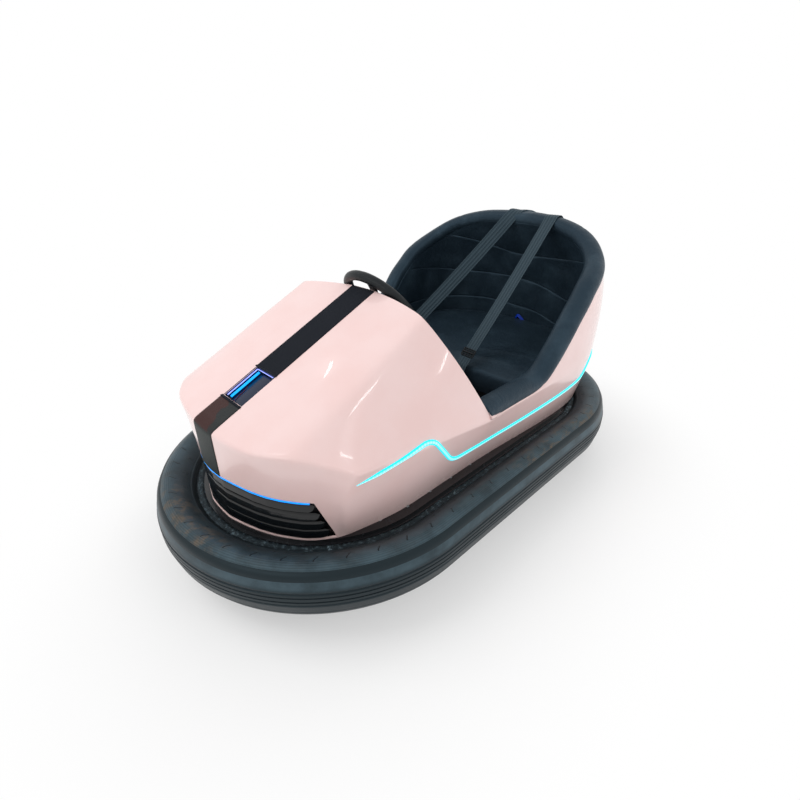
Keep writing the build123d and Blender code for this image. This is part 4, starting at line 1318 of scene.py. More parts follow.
@dataclass
class Seat:
    """Padded seat: liner with sewn channels, cushion, bolster roll and their seams."""

    lines: SeatLines = field(default_factory=SeatLines)
    roll_out: float = 0.0365
    roll_up: float = 0.0300
    roll_droop: float = 0.010
    roll_seam: float = math.radians(141)
    roll_joints: tuple = (0.352, 1.02)
    roll_end: Point = (0, -0.0975, 0.427)
    roll_slant: Point = (0, 0.333, 0.157)
    channels: tuple = (((0.0, 505), (0.27, 512), (0.60, 486), (0.83, 470), (0.94, 502), (1.15, 520), (1.73, 516),
                        (2.0, 505)),
                       ((0.0, 690), (0.16, 684), (0.55, 612), (0.76, 590), (1.02, 646), (1.32, 646), (1.84, 684),
                        (2.0, 690)),
                       ((0.0, 850), (0.35, 812), (0.55, 786), (0.80, 766), (1.0, 754), (1.20, 796), (1.57, 838),
                        (2.0, 850)))
    panel_steps: tuple = (0.0, 0.013, 0.032, 0.062, 0.11, 0.18, 0.27, 0.38, 0.5, 0.62, 0.73, 0.82, 0.89,
                          0.938, 0.968, 0.987, 1.0)
    under_roll: tuple = (15.0, 10.0, 5.0)
    liner_columns: int = 150
    liner_thick: float = 0.030
    liner_foot: float = 436.0
    liner_most: float = 908.0
    tuck: float = 13.0
    seam_deep: float = 0.0042
    seam_wide: float = 2.4
    ridge_high: float = 0.0005
    ridge_wide: float = 7.0
    ridge_under: float = 10.0
    cushion_front: tuple = (0.188, 0.414)
    front_share: float = 0.14
    piping: float = 0.145
    cushion_half: float = 0.393
    foot_in: float = 0.010
    front_round: float = 0.008
    front_bow: float = 0.006
    gap: float = 0.004
    cushion_wide: float = 0.79
    cushion_long: float = 0.62
    creases: tuple = ((0.0045, 0.26, 0.16, 0.020, 0.16, 0.26), (0.0035, 0.33, 0.30, 0.016, 0.20, 0.20))
    cushion_rear_z: float = 0.447
    cushion_low: float = 0.3305
    roll_piece: Optional[bpy.types.Object] = None

    def roll(self) -> bpy.types.Object:
        """Make the bolster roll.

        Returns:
            The piece.
        """
        line = self.lines.roll_line(330)
        turn = turns(40)
        section = np.stack([self.roll_out * bent(np.cos(turn), 0.86), self.roll_up * bent(np.sin(turn), 0.9)], axis=1)
        section[:, 1] -= self.roll_droop * np.clip(section[:, 0] / self.roll_out, 0, 1) ** 2
        run = lengths(line)
        loops = np.repeat(section[None], len(line), axis=0)
        loops *= 1 - 0.075 * bell(turn - self.roll_seam, 0.07)[None, :, None]
        for place in self.roll_joints:
            for at in (place, run[-1] - place):
                loops *= 1 - 0.035 * bell(run - at, 0.004)[:, None, None]
        soft = 0.006 * np.sin(run * 9.0 + 0.6) * np.sin(run * 23.0)
        loops *= 1 + soft[:, None, None]
        roll = sweep("bolster_roll_cover", line, loops, across=np.linspace(0.0, 1.0, len(turn) + 1))
        self.trim_front(roll)
        return roll

    def trim_front(self, roll: bpy.types.Object) -> None:
        """Cut the roll's front ends along the hood's rear edge and close them.

        Args:
            roll: the roll.
        """
        with editing(roll) as work:
            bmesh.ops.bisect_plane(work, geom=work.verts[:] + work.edges[:] + work.faces[:], dist=1e-6,
                                   plane_co=self.roll_end, plane_no=Vector(self.roll_slant).normalized(),
                                   clear_inner=True)
            fill_holes(work)
        Mesher.smooth(roll.data)

    def seam_heights(self, shares: np.ndarray, tops: np.ndarray) -> np.ndarray:
        """Return the heights of the liner's seams at each column, from its foot to its top edge.

        Args:
            shares: the columns' places round the seat.
            tops: the liner's top at each column.

        Returns:
            The heights in millimetres, by seam and column.
        """
        rows = [np.full(len(shares), self.liner_foot)]
        for seam, least in zip(self.channels, self.under_roll):
            table = np.array(seam, float)
            high = evened(np.interp(shares, table[:, 0], table[:, 1]))
            rows.append(np.maximum(np.minimum(high, tops - least), rows[-1] + 2.0))
        rows.append(tops)
        return np.array(rows)

    def liner(self) -> bpy.types.Object:
        """Make the backrest's padded liner, sewn in channels.

        Returns:
            The piece.
        """
        steps = np.array(self.panel_steps)
        roll = self.lines.roll_line(600) / MM
        shares = np.linspace(0.0, 2.0, self.liner_columns)
        tops = evened(np.array([self.top_of(u, roll) for u in shares]))
        seams = self.seam_heights(shares, tops)
        levels, seam_rows = [], [0]
        for low, high in zip(seams, seams[1:]):
            levels += [low + (high - low) * step for step in steps[:-1]]
            seam_rows.append(len(levels))
        levels = np.array(levels + [seams[-1]]).T
        points = np.array([[self.lines.wall_at(u, z) for z in row] for u, row in zip(shares, levels)]) * MM
        middle = len(steps) // 2
        run_u = lengths(points[:, middle])
        run_v = (levels - self.liner_foot) * MM
        runs = np.stack([np.broadcast_to(run_u[:, None], run_v.shape), run_v], axis=-1)
        face = Mesher.grid("backrest_cover", points, runs)
        pinned = np.zeros(levels.shape)
        for row in seam_rows:
            pinned[:, max(row - 1, 0):row + 2] = 1.0
        pinned[:2] = pinned[-2:] = 1.0
        pinned = np.maximum(pinned, np.clip(1.6 - (levels[:, -1:] - levels) / 26.0, 0, 1))
        pinned = np.maximum(pinned, np.gradient(levels, axis=1) < 1.0)
        self.face_inward(face)
        Upholsterer.swell(face, pinned, pressure=2.2, cap=0.012)
        self.sew(face, levels, seams[1:-1])
        Mesher.modify(face, "SUBSURF", levels=1, render_levels=1)
        Mesher.modify(face, "SOLIDIFY", thickness=self.liner_thick, offset=-1.0, use_even_offset=False)
        return face

    def face_inward(self, face: bpy.types.Object) -> None:
        """Turn a liner's faces towards the seat."""
        total = sum(p.normal.dot(Vector((0, 0.4, 0.5)) - p.center) for p in face.data.polygons)
        if total < 0:
            face.data.flip_normals()

    def sew(self, face: bpy.types.Object, levels: np.ndarray, seams: np.ndarray) -> None:
        """Draw the channels' seams in, after the cover has swelled.

        Args:
            face: the cover.
            levels: the heights of its points, by column and row.
            seams: the heights of the seams, by seam and column.
        """
        co = np.array([v.co for v in face.data.vertices])
        normals = np.array([v.normal for v in face.data.vertices])
        depth = np.zeros(levels.shape)
        for seam in seams:
            gap = levels - seam[:, None]
            shown = np.clip((levels[:, -1:] - seam[:, None] - 17.0) / 12.0, 0, 1)
            depth += shown * (self.seam_deep * bell(gap, self.seam_wide)
                              - self.ridge_high * bell(gap + self.ridge_under, self.ridge_wide))
        Mesher.shift(face, co - normals * depth.reshape(-1, 1))

    def top_of(self, u: float, roll: np.ndarray) -> float:
        """Return how high the liner reaches at a column: just under the middle of the roll.

        Args:
            u: the column's place round the seat.
            roll: the roll's middle line in millimetres.

        Returns:
            The height in millimetres.
        """
        best = self.liner_foot + 8.0
        for z in np.arange(best, self.liner_most, 3.0):
            at = self.lines.wall_at(u, z)
            near = roll[np.linalg.norm(roll[:, :2] - at[:2], axis=1).argmin()]
            if z > near[2] - self.tuck:
                break
            best = z
        return best

    def cushion(self) -> bpy.types.Object:
        """Make the seat cushion, crowned and creased.

        Returns:
            The piece.
        """
        columns, rows = 84, 62
        s, t = np.linspace(-1, 1, columns), np.linspace(0, 1, rows)
        points = np.array([[self.cushion_at(a, b) for b in t] for a in s])
        runs = run_map(np.linspace(0, self.cushion_wide, columns), np.linspace(0, self.cushion_long, rows))
        top = Mesher.grid("seat_cushion_cover", points, runs)
        Mesher.face(top, UP)
        pinned = np.zeros((columns, rows))
        pinned[:, np.abs(t - self.piping) < 0.012] = 0.85
        pinned[:, :2] = pinned[:, -1:] = 1.0
        pinned[0, :] = pinned[-1, :] = 1.0
        Upholsterer.swell(top, pinned, pressure=2.4, cap=0.014)
        co = np.array([v.co for v in top.data.vertices])
        x, y = co[:, 0], co[:, 1]
        fold = 0.003 * bell(y - 0.55 + x * 0.1, 0.05) * np.sin(x * 14)
        for high, place, lean, wide, middle, half in self.creases:
            fold += high * bell(y - place - (x - 0.05) * lean, wide) * np.clip(1 - np.abs(x - middle) / half, 0, 1)
        co[:, 2] += fold * np.tile((t > 0.2) & (t < 0.97), columns)
        Mesher.shift(top, co)
        Mesher.modify(top, "SUBSURF", levels=1, render_levels=1)
        self.close_under(top)
        return top

    def cushion_at(self, s: float, t: float) -> np.ndarray:
        """Return a point of the cushion's cover.

        Args:
            s: -1 at the right edge to 1 at the left one.
            t: 0 at the foot of its front, then back along its top to 1.

        Returns:
            The point in metres.
        """
        front_y, front_z = self.cushion_front
        if t < self.front_share:
            part = t / self.front_share
            z = self.cushion_low + (front_z - self.front_round - self.cushion_low) * part
            half = self.cushion_half - self.foot_in * (1 - part)
            return np.array([s * half, front_y - self.gap - self.front_bow * math.sin(part * math.pi), z])
        part = (t - self.front_share) / (1 - self.front_share)
        z = front_z + (self.cushion_rear_z - front_z) * part
        back = self.lines.wall_at(1.0, z / MM)[1] * MM - self.gap
        corner = self.lines.corner_y * MM
        reach = corner + (back - corner) * max(1 - abs(s) ** self.lines.power, 0.0) ** (1 / self.lines.power)
        return np.array([s * self.cushion_half, front_y + (reach - front_y) * part, z])

    def close_under(self, top: bpy.types.Object) -> None:
        """Close the cushion with a flat underside.

        Args:
            top: the cushion's cover.
        """
        with editing(top) as work:
            made = bmesh.ops.extrude_edge_only(work, edges=open_edges(work))["geom"]
            for vert in (g for g in made if isinstance(g, bmesh.types.BMVert)):
                vert.co.z = self.cushion_low
            fill_holes(work)
        Mesher.smooth(top.data)
        Mesher.shade(top, 60.0)

    def build(self, paints: dict) -> None:
        """Make and dress the seat's pieces.

        Args:
            paints: the materials by name.
        """
        self.roll_piece = self.roll()
        covers = {"bolster_roll": self.roll_piece, "backrest_pad": self.liner(), "seat_cushion": self.cushion()}
        for node, piece in covers.items():
            dress(piece, paints["seat_leather"], stands_for=(node,))


def rounded(points: Sequence[Sequence[float]], cuts: Sequence[float], count: int) -> np.ndarray:
    """Return evenly spaced points on a run of straight lines with rounded corners.

    Args:
        points: the corners and the two ends.
        cuts: how far before each inner corner its bend starts.
        count: how many points come back.

    Returns:
        The points.
    """
    p = np.array(points, float)
    line = [p[0]]
    for corner, cut, before, after in zip(p[1:-1], cuts, p[:-2], p[2:]):
        start = corner + unit(before - corner) * cut
        end = corner + unit(after - corner) * cut
        for t in np.linspace(0, 1, 12):
            line.append((1 - t) ** 2 * start + 2 * t * (1 - t) * corner + t * t * end)
    line.append(p[-1])
    return spaced(np.array(line), count)


def turned(name: str, profile: Sequence[Sequence[float]], centre: Point, axis: Point, segments: int,
           groove: Optional[Callable[[np.ndarray, np.ndarray], np.ndarray]] = None) -> bpy.types.Object:
    """Turn a closed profile round an axis.

    Args:
        name: the piece's name.
        profile: closed loop of (radius, height) points in metres.
        centre: the point that heights are counted from.
        axis: the axis.
        segments: steps in a turn.
        groove: how deep the surface is cut, by turn and height.

    Returns:
        The piece.
    """
    w = unit(np.array(axis, float))
    u = unit(np.cross(w, UP if abs(w[2]) < 0.9 else ACROSS))
    v = np.cross(w, u)
    turn = turns(segments)[:, None]
    p = np.array(profile, float)
    radius = np.repeat(p[None, :, 0], segments, axis=0)
    if groove is not None:
        radius = radius - groove(turn, p[None, :, 1]) * (radius > 0.9 * p[:, 0].max())
    around = np.cos(turn)[..., None] * u + np.sin(turn)[..., None] * v
    points = np.array(centre) + around * radius[..., None] + w * p[None, :, 1, None]
    along = np.linspace(0, 2 * math.pi, segments + 1) * p[:, 0].max()
    runs = run_map(along, lengths(np.vstack([p, p[:1]])))
    piece = Mesher.grid(name, points, runs, closed_u=True, closed_v=True)
    face_out(piece)
    Mesher.shade(piece, 40.0)
    return piece


def face_out(piece: bpy.types.Object) -> None:
    """Turn a closed piece's faces outwards."""
    with editing(piece) as work:
        bmesh.ops.recalc_face_normals(work, faces=work.faces)


def bolts(name: str, places: Sequence[Point], axis: Point, radius: float) -> bpy.types.Object:
    """Make hexagon bolt heads on their washers, domed a little.

    Args:
        name: the piece's name.
        places: the seats of the heads.
        axis: the way that the heads point.
        radius: half the width over a head's corners.

    Returns:
        The piece.
    """
    work = bmesh.new()
    w = Vector(axis).normalized()
    spin = Vector(UP).rotation_difference(w).to_matrix().to_4x4()
    layers = ((24, 1.45, 0.0, 0.22), (6, 1.0, 0.22, 0.95))
    for place in places:
        for sides, wide, low, high in layers:
            rings = []
            for reach, level in ((wide, low), (wide, high - 0.08), (wide * 0.9, high)):
                ring = [work.verts.new(Matrix.Translation(place) @ spin @ Vector((
                    radius * reach * math.cos(2 * math.pi * k / sides),
                    radius * reach * math.sin(2 * math.pi * k / sides), radius * level))) for k in range(sides)]
                rings.append(ring)
            for a, b in zip(rings, rings[1:]):
                for k in range(sides):
                    work.faces.new((a[k], a[(k + 1) % sides], b[(k + 1) % sides], b[k]))
            work.faces.new(rings[-1])
            work.faces.new(rings[0][::-1])
    piece = Mesher.baked(name, work)
    Mesher.shade(piece, 25.0)
    return piece


def ribbon(name: str, line: np.ndarray, across: np.ndarray, wide: float, thick: float) -> bpy.types.Object:
    """Make a strap along a line.

    Args:
        name: the piece's name.
        line: its middle line in metres.
        across: which way its width lies at each point.
        wide: its width.
        thick: its thickness.

    Returns:
        The piece, with its run along and across as a UV map.
    """
    ahead = unit(np.gradient(line, axis=0))
    side = unit(across - (across * ahead).sum(axis=1, keepdims=True) * ahead)
    out = np.cross(side, ahead)
    share = np.linspace(-0.5, 0.5, 17)
    rib = 1.0 + 0.22 * np.cos(share * 8 * math.pi) - 0.5 * (np.abs(share) > 0.49)
    loop = np.vstack([np.stack([share * wide, rib * thick / 2], axis=1),
                      np.stack([share[::-1] * wide, -rib * thick / 2], axis=1)])
    points = line[:, None] + side[:, None] * loop[None, :, :1] + out[:, None] * loop[None, :, 1:]
    piece = Mesher.grid(name, points, run_map(lengths(line), np.append(loop[:, 0], loop[0, 0])), closed_v=True)
    cap_ends(piece)
    Mesher.shade(piece, 50.0)
    return piece


@dataclass
class HoodStripe:
    """Felt stripe over the hood, and the dark panel from the light tray down to the grille."""

    skin: BodySkin
    half: float = 0.0555
    thick: float = 0.0015
    sunk: float = 0.0012
    crest_bend: float = 0.020
    hood: tuple = ((-0.2185, 0.7768), (-0.5965, 0.6053))
    nose: tuple = ((-0.7155, 0.5513), (-0.8105, 0.508), (-0.8150, 0.371))

    def lay(self, name: str, profile: np.ndarray) -> bpy.types.Object:
        """Lay a strip on the skin along a line of (y, z) points, and thicken it.

        Args:
            name: the piece's name.
            profile: the line.

        Returns:
            The piece.
        """
        ahead = unit(np.gradient(profile, axis=0))
        away = np.stack([ahead[:, 1], -ahead[:, 0]], axis=1)
        across = np.linspace(-self.half, self.half, 17)
        points = np.zeros((len(profile), len(across), 3))
        for i, (at, out) in enumerate(zip(profile, away)):
            normal = Vector((0, out[0], out[1]))
            for j, x in enumerate(across):
                start = Vector((x, at[0], at[1]))
                hit = self.skin.tree.ray_cast(start + normal * 0.04, -normal, 0.09)[0]
                points[i, j] = (hit or start) + normal * self.thick
        strip = Mesher.grid(name, points, run_map(lengths(profile), across))
        Mesher.face(strip, (0, -1, 1))
        Mesher.modify(strip, "SOLIDIFY", thickness=self.thick + self.sunk, offset=-1.0)
        Mesher.modify(strip, "BEVEL", width=0.0005, segments=2, limit_method="ANGLE", angle_limit=1.0)
        return strip

    def build(self, paints: dict) -> None:
        """Make and dress both lengths.

        Args:
            paints: the materials by name.
        """
        hood = self.lay("hood_stripe_felt", spaced(np.array(self.hood), 60))
        dress(hood, paints["stripe_felt"], stands_for=("hood_stripe",))
        nose = self.lay("nose_stripe_panel", rounded(self.nose, (self.crest_bend,), 48))
        dress(nose, paints["stripe_gloss"], stands_for=("nose_stripe",))


@dataclass
class SideLights:
    """Cyan tubes let into both flanks."""

    skin: BodySkin
    route: tuple = ((-0.612, 0.432), (-0.360, 0.464), (-0.238, 0.318), (0.062, 0.316), (0.360, 0.334),
                    (0.545, 0.348), (0.600, 0.388), (0.634, 0.444))
    cuts: tuple = (0.036, 0.040, 0.08, 0.10, 0.028, 0.024)
    reach: float = 0.0046
    half: float = 0.0078

    def tube(self, side: Side) -> bpy.types.Object:
        """Make one side's tube, its ends tapered.

        Args:
            side: the side of the car.

        Returns:
            The piece.
        """
        line, outs = [], []
        for y, z in rounded(self.route, self.cuts, 260):
            start = Vector((side.value * 0.62, y, z))
            hit, normal = self.skin.tree.ray_cast(start, Vector((-side.value, 0, 0)), 0.4)[:2]
            if hit is None:
                continue
            normal = normal if normal.x * side.value > 0 else -normal
            line.append(hit)
            outs.append(normal)
        line, outs = np.array(line), np.array(outs)
        ahead = unit(np.gradient(line, axis=0))
        rise = np.cross(ahead, outs) * side.value
        section, across = oval(self.reach, self.half, 16)
        run = lengths(line)
        taper = np.clip(run / 0.07, 0.12, 1) ** 0.7 * np.clip((run[-1] - run) / 0.03, 0.12, 1) ** 0.6
        loops = section[None] * taper[:, None, None]
        points = line[:, None] + outs[:, None] * loops[..., :1] + rise[:, None] * loops[..., 1:]
        tube = Mesher.grid(f"side_light_tube_{side.name.lower()}", points, run_map(run, across), closed_v=True)
        cap_ends(tube)
        return tube

    def build(self, paints: dict) -> None:
        """Make and dress both tubes."""
        for side in Side:
            dress(self.tube(side), paints["light_cyan"],
                  stands_for=(f"side_light_{side.name.lower()}",))


@dataclass
class NoseGrille:
    """Glossy louvres in the nose's window, with the blue light over them."""

    skin: BodySkin
    slats: int = 4
    slat_high: float = 0.0262
    low_z: float = 0.2240
    top_gap: float = 0.0085
    slat_inset: float = 0.0100
    back_inset: float = 0.0150
    end_gap: float = 0.007
    tube: tuple = (0.0036, 0.0046)
    slat_form: tuple = ((0.0, 0.50), (0.0028, 0.47), (0.0048, 0.36), (0.0062, 0.10), (0.0074, -0.16), (0.0086, -0.34),
                        (0.0088, -0.42), (0.0078, -0.47), (0.0056, -0.49), (0.0010, -0.50), (-0.0020, -0.2),
                        (-0.0020, 0.3))

    def front_of(self, x: np.ndarray, z: np.ndarray) -> np.ndarray:
        """Return the nose's y at points across it, in metres.

        Args:
            x: how far across they are.
            z: how high they are.

        Returns:
            Their y.
        """
        skin, out = self.skin, []
        for across, high in zip(np.abs(x) * 1000, z * 1000):
            table = np.array([[np.interp(high, (skin.foot_z, skin.middle_z, top[2]), (low[k], mid[k], top[k]))
                               for k in (0, 1)]
                              for top, low, mid in zip(skin.crest, skin.foot, skin.middle)])
            out.append(np.interp(across, table[:, 0], table[:, 1]))
        return np.array(out) * MM

    def top_of(self, x: np.ndarray) -> np.ndarray:
        """Return the window's upper edge at points across the nose."""
        skin = self.skin
        share = np.abs(x) / (skin.window_x * MM)
        return (skin.window_mid + (skin.window_end - skin.window_mid) * share ** 2) * MM

    def reach_at(self, z: float) -> float:
        """Return half of the window's width at a height."""
        skin, last = self.skin, self.skin.window_last
        ends = (skin.foot[last][0] * MM, skin.middle[last][0] * MM)
        return float(np.interp(z, (skin.foot_z * MM, skin.middle_z * MM), ends))

    def line(self, share: float, reach: float, inset: float, count: int) -> np.ndarray:
        """Return a line across the nose.

        Args:
            share: its height, from 0 at the window's foot to 1 at its upper edge.
            reach: half of its width.
            inset: how far it lies behind the skin.
            count: how many points it has.

        Returns:
            The points in metres.
        """
        x = np.linspace(-reach, reach, 121)
        z = self.low_z + (self.top_of(x) - self.top_gap - self.low_z) * share
        line = spaced(np.column_stack([x, self.front_of(x, z), z]), 4 * count)
        line[4:-4] = np.column_stack([evened(line[:, k]) for k in range(3)])[4:-4]
        line = spaced(line, count)
        return line - unit(np.cross(unit(np.gradient(line, axis=0)), UP)) * inset

    def slat(self, index: int) -> bpy.types.Object:
        """Make one louvre, its ends rounded and drawn up.

        Args:
            index: its number from the lowest.

        Returns:
            The piece.
        """
        share = (index + 0.5) / self.slats
        level = self.low_z + (self.skin.window_end * MM - self.top_gap - self.low_z) * share
        line = self.line(share, self.reach_at(level) - self.end_gap, self.slat_inset, 150)
        run = lengths(line)
        near = np.minimum(run, run[-1] - run)
        full = np.sqrt(np.clip(1 - (1 - np.clip(near / 0.020, 0, 1)) ** 2, 0.02, 1))
        form = np.array(self.slat_form)
        loops = np.zeros((len(line), len(form), 2))
        loops[..., 0] = form[None, :, 0] * full[:, None] ** 0.5
        loops[..., 1] = form[None, :, 1] * self.slat_high * full[:, None] + (1 - full[:, None]) * 0.006
        slat = sweep(f"grille_slat_{index + 1}", line, loops)
        cap_ends(slat)
        Mesher.shade(slat, 38.0)
        return slat

    def backing(self) -> bpy.types.Object:
        """Make the dark panel behind the louvres.

        Returns:
            The piece.
        """
        rows = []
        steps, columns = 9, 90
        for share in np.linspace(-0.10, 1.14, steps):
            level = self.low_z + (self.skin.window_end * MM - self.low_z) * share
            rows.append(self.line(share, self.reach_at(level) + 0.004, self.back_inset, columns))
        runs = run_map(np.linspace(0, 0.16, steps), np.linspace(0, 0.8, columns))
        panel = Mesher.grid("grille_backing", np.array(rows), runs)
        Mesher.face(panel, (0, -1, 0))
        Mesher.modify(panel, "SOLIDIFY", thickness=0.003, offset=-1.0)
        return panel

    def light(self) -> bpy.types.Object:
        """Make the blue tube under the window's upper edge.

        Returns:
            The piece.
        """
        wide, high = self.tube
        line = self.line(1.0, self.reach_at(self.skin.window_end * MM) - 0.010, wide, 160)
        line[:, 2] = self.top_of(line[:, 0]) - high
        section, across = oval(wide, high, 14)
        tube = sweep("grille_light_tube", line, section, across=across)
        cap_ends(tube)
        return tube

    def build(self, paints: dict) -> None:
        """Make and dress the grille.

        Args:
            paints: the materials by name.
        """
        for index in range(self.slats):
            dress(self.slat(index), paints["gloss_black"])
        dress(self.backing(), paints["grille_shadow"], stands_for=("nose_grille",))
        dress(self.light(), paints["light_blue"], stands_for=("grille_light",))


@dataclass
class LightTray:
    """Tinted tray let into the hood's stripe, with its azure tube, pale strips, wire and felt lips."""

    middle: Point = (0.0, -0.656, 0.5783)
    slope: float = 24.41
    half: float = 0.0503
    long: float = 0.0629
    deep: float = 0.022
    flange: float = 0.0042
    corner: float = 0.0048
    crown: float = 0.0032
    edge_steps: tuple = (0, 0.5, 1.2, 2.2, 3.4, 4.8, 7, 10)
    bar_radius: float = 0.0036
    strip_up: float = -0.0045
    bar: tuple = ((-0.0375, -0.052, -0.0115), (-0.0375, 0.055, -0.0115))
    wire: tuple = ((-0.030, 0.002, -0.0185), (-0.024, -0.014, -0.0170), (-0.022, -0.036, -0.0168),
                   (-0.016, -0.058, -0.0150))

    def at(self, x: object, along: object, up: object) -> np.ndarray:
        """Return points given across, up the hood's slope and out of it.

        Args:
            x: how far across.
            along: how far up the slope.
            up: how far out of the hood.

        Returns:
            The points.
        """
        a = math.radians(self.slope)
        x, along, up = np.broadcast_arrays(x, along, up)
        return np.stack([x + self.middle[0], self.middle[1] + along * math.cos(a) - up * math.sin(a),
                         self.middle[2] + along * math.sin(a) + up * math.cos(a)], axis=-1)

    def dish(self) -> bpy.types.Object:
        """Make the tray: a shallow dish with round corners and a thin flange.

        Returns:
            The piece.
        """
        x, s = self.stations(self.half), self.stations(self.long)
        grid_x, grid_s = np.meshgrid(x, s, indexing="ij")
        inside = np.minimum(self.half - np.abs(grid_x), self.long - np.abs(grid_s))
        t = np.clip(inside / self.corner, 0, 1)
        drop = -self.deep * (1 - (1 - t) ** 2.6) * (inside > 0)
        crown = self.crown * np.clip(1 - (grid_x / self.half) ** 2, 0, 1) * (inside > 0.004)
        up = 0.0016 + drop + crown - 0.0012 * (inside < -self.flange * 0.7)
        runs = np.stack([grid_s + self.long, grid_x], axis=-1)
        dish = Mesher.grid("light_tray_dish", self.at(grid_x, grid_s, up), runs)
        Mesher.face(dish, UP)
        Mesher.modify(dish, "SOLIDIFY", thickness=0.0012, offset=-1.0)
        Mesher.shade(dish, 60.0)
        return dish

    def stations(self, half: float) -> np.ndarray:
        """Return the places of the dish's rows along one way, closer at its edges."""
        edge = np.array(self.edge_steps) / 1000
        low = -half - self.flange + np.concatenate([[0, self.flange * 0.8], self.flange + edge])
        return np.concatenate([low, np.linspace(low[-1], -low[-1], 12)[1:-1], -low[::-1]])

    def tube(self, name: str, points: Sequence[Point], radius: float, squash: float = 1.0) -> bpy.types.Object:
        """Make a small tube along points in the tray.

        Args:
            name: the piece's name.
            points: its line, in the tray's own axes.
            radius: half its width.
            squash: its height as a share of its width.

        Returns:
            The piece.
        """
        local = np.array(points, float)
        line = spaced(self.at(local[:, 0], local[:, 1], local[:, 2]), 40)
        section, across = oval(radius, radius * squash, 12)
        piece = sweep(name, line, section, across=across)
        cap_ends(piece)
        return piece

    def build(self, paints: dict) -> None:
        """Make and dress the tray.

        Args:
            paints: the materials by name.
        """
        dress(self.dish(), paints["tray_tint"], stands_for=("light_tray",))
        bar = self.tube("tray_light_tube", self.bar, self.bar_radius)
        dress(bar, paints["tray_azure"], stands_for=("tray_light",))
        end, up = self.long - 0.0035, self.strip_up
        side = ((-0.0455, -0.055, up), (-0.0455, end, up))
        rear = ((-0.044, end, up), (0.047, end, up))
        dress(self.tube("tray_strip_side", side, 0.0022, 0.7), paints["tray_pale"])
        dress(self.tube("tray_strip_rear", rear, 0.0016, 0.8), paints["tray_pale"])
        dress(self.tube("tray_wire", smooth_line(self.wire, 30), 0.0009), paints["red_wire"])
        for name, place in (("rear", self.long + 0.0025), ("front", -self.long - 0.0035)):
            lip = self.tube(f"tray_lip_{name}", ((-0.0556, place, 0.0020), (0.0556, place, 0.0020)), 0.0046, 0.42)
            dress(lip, paints["stripe_felt"])


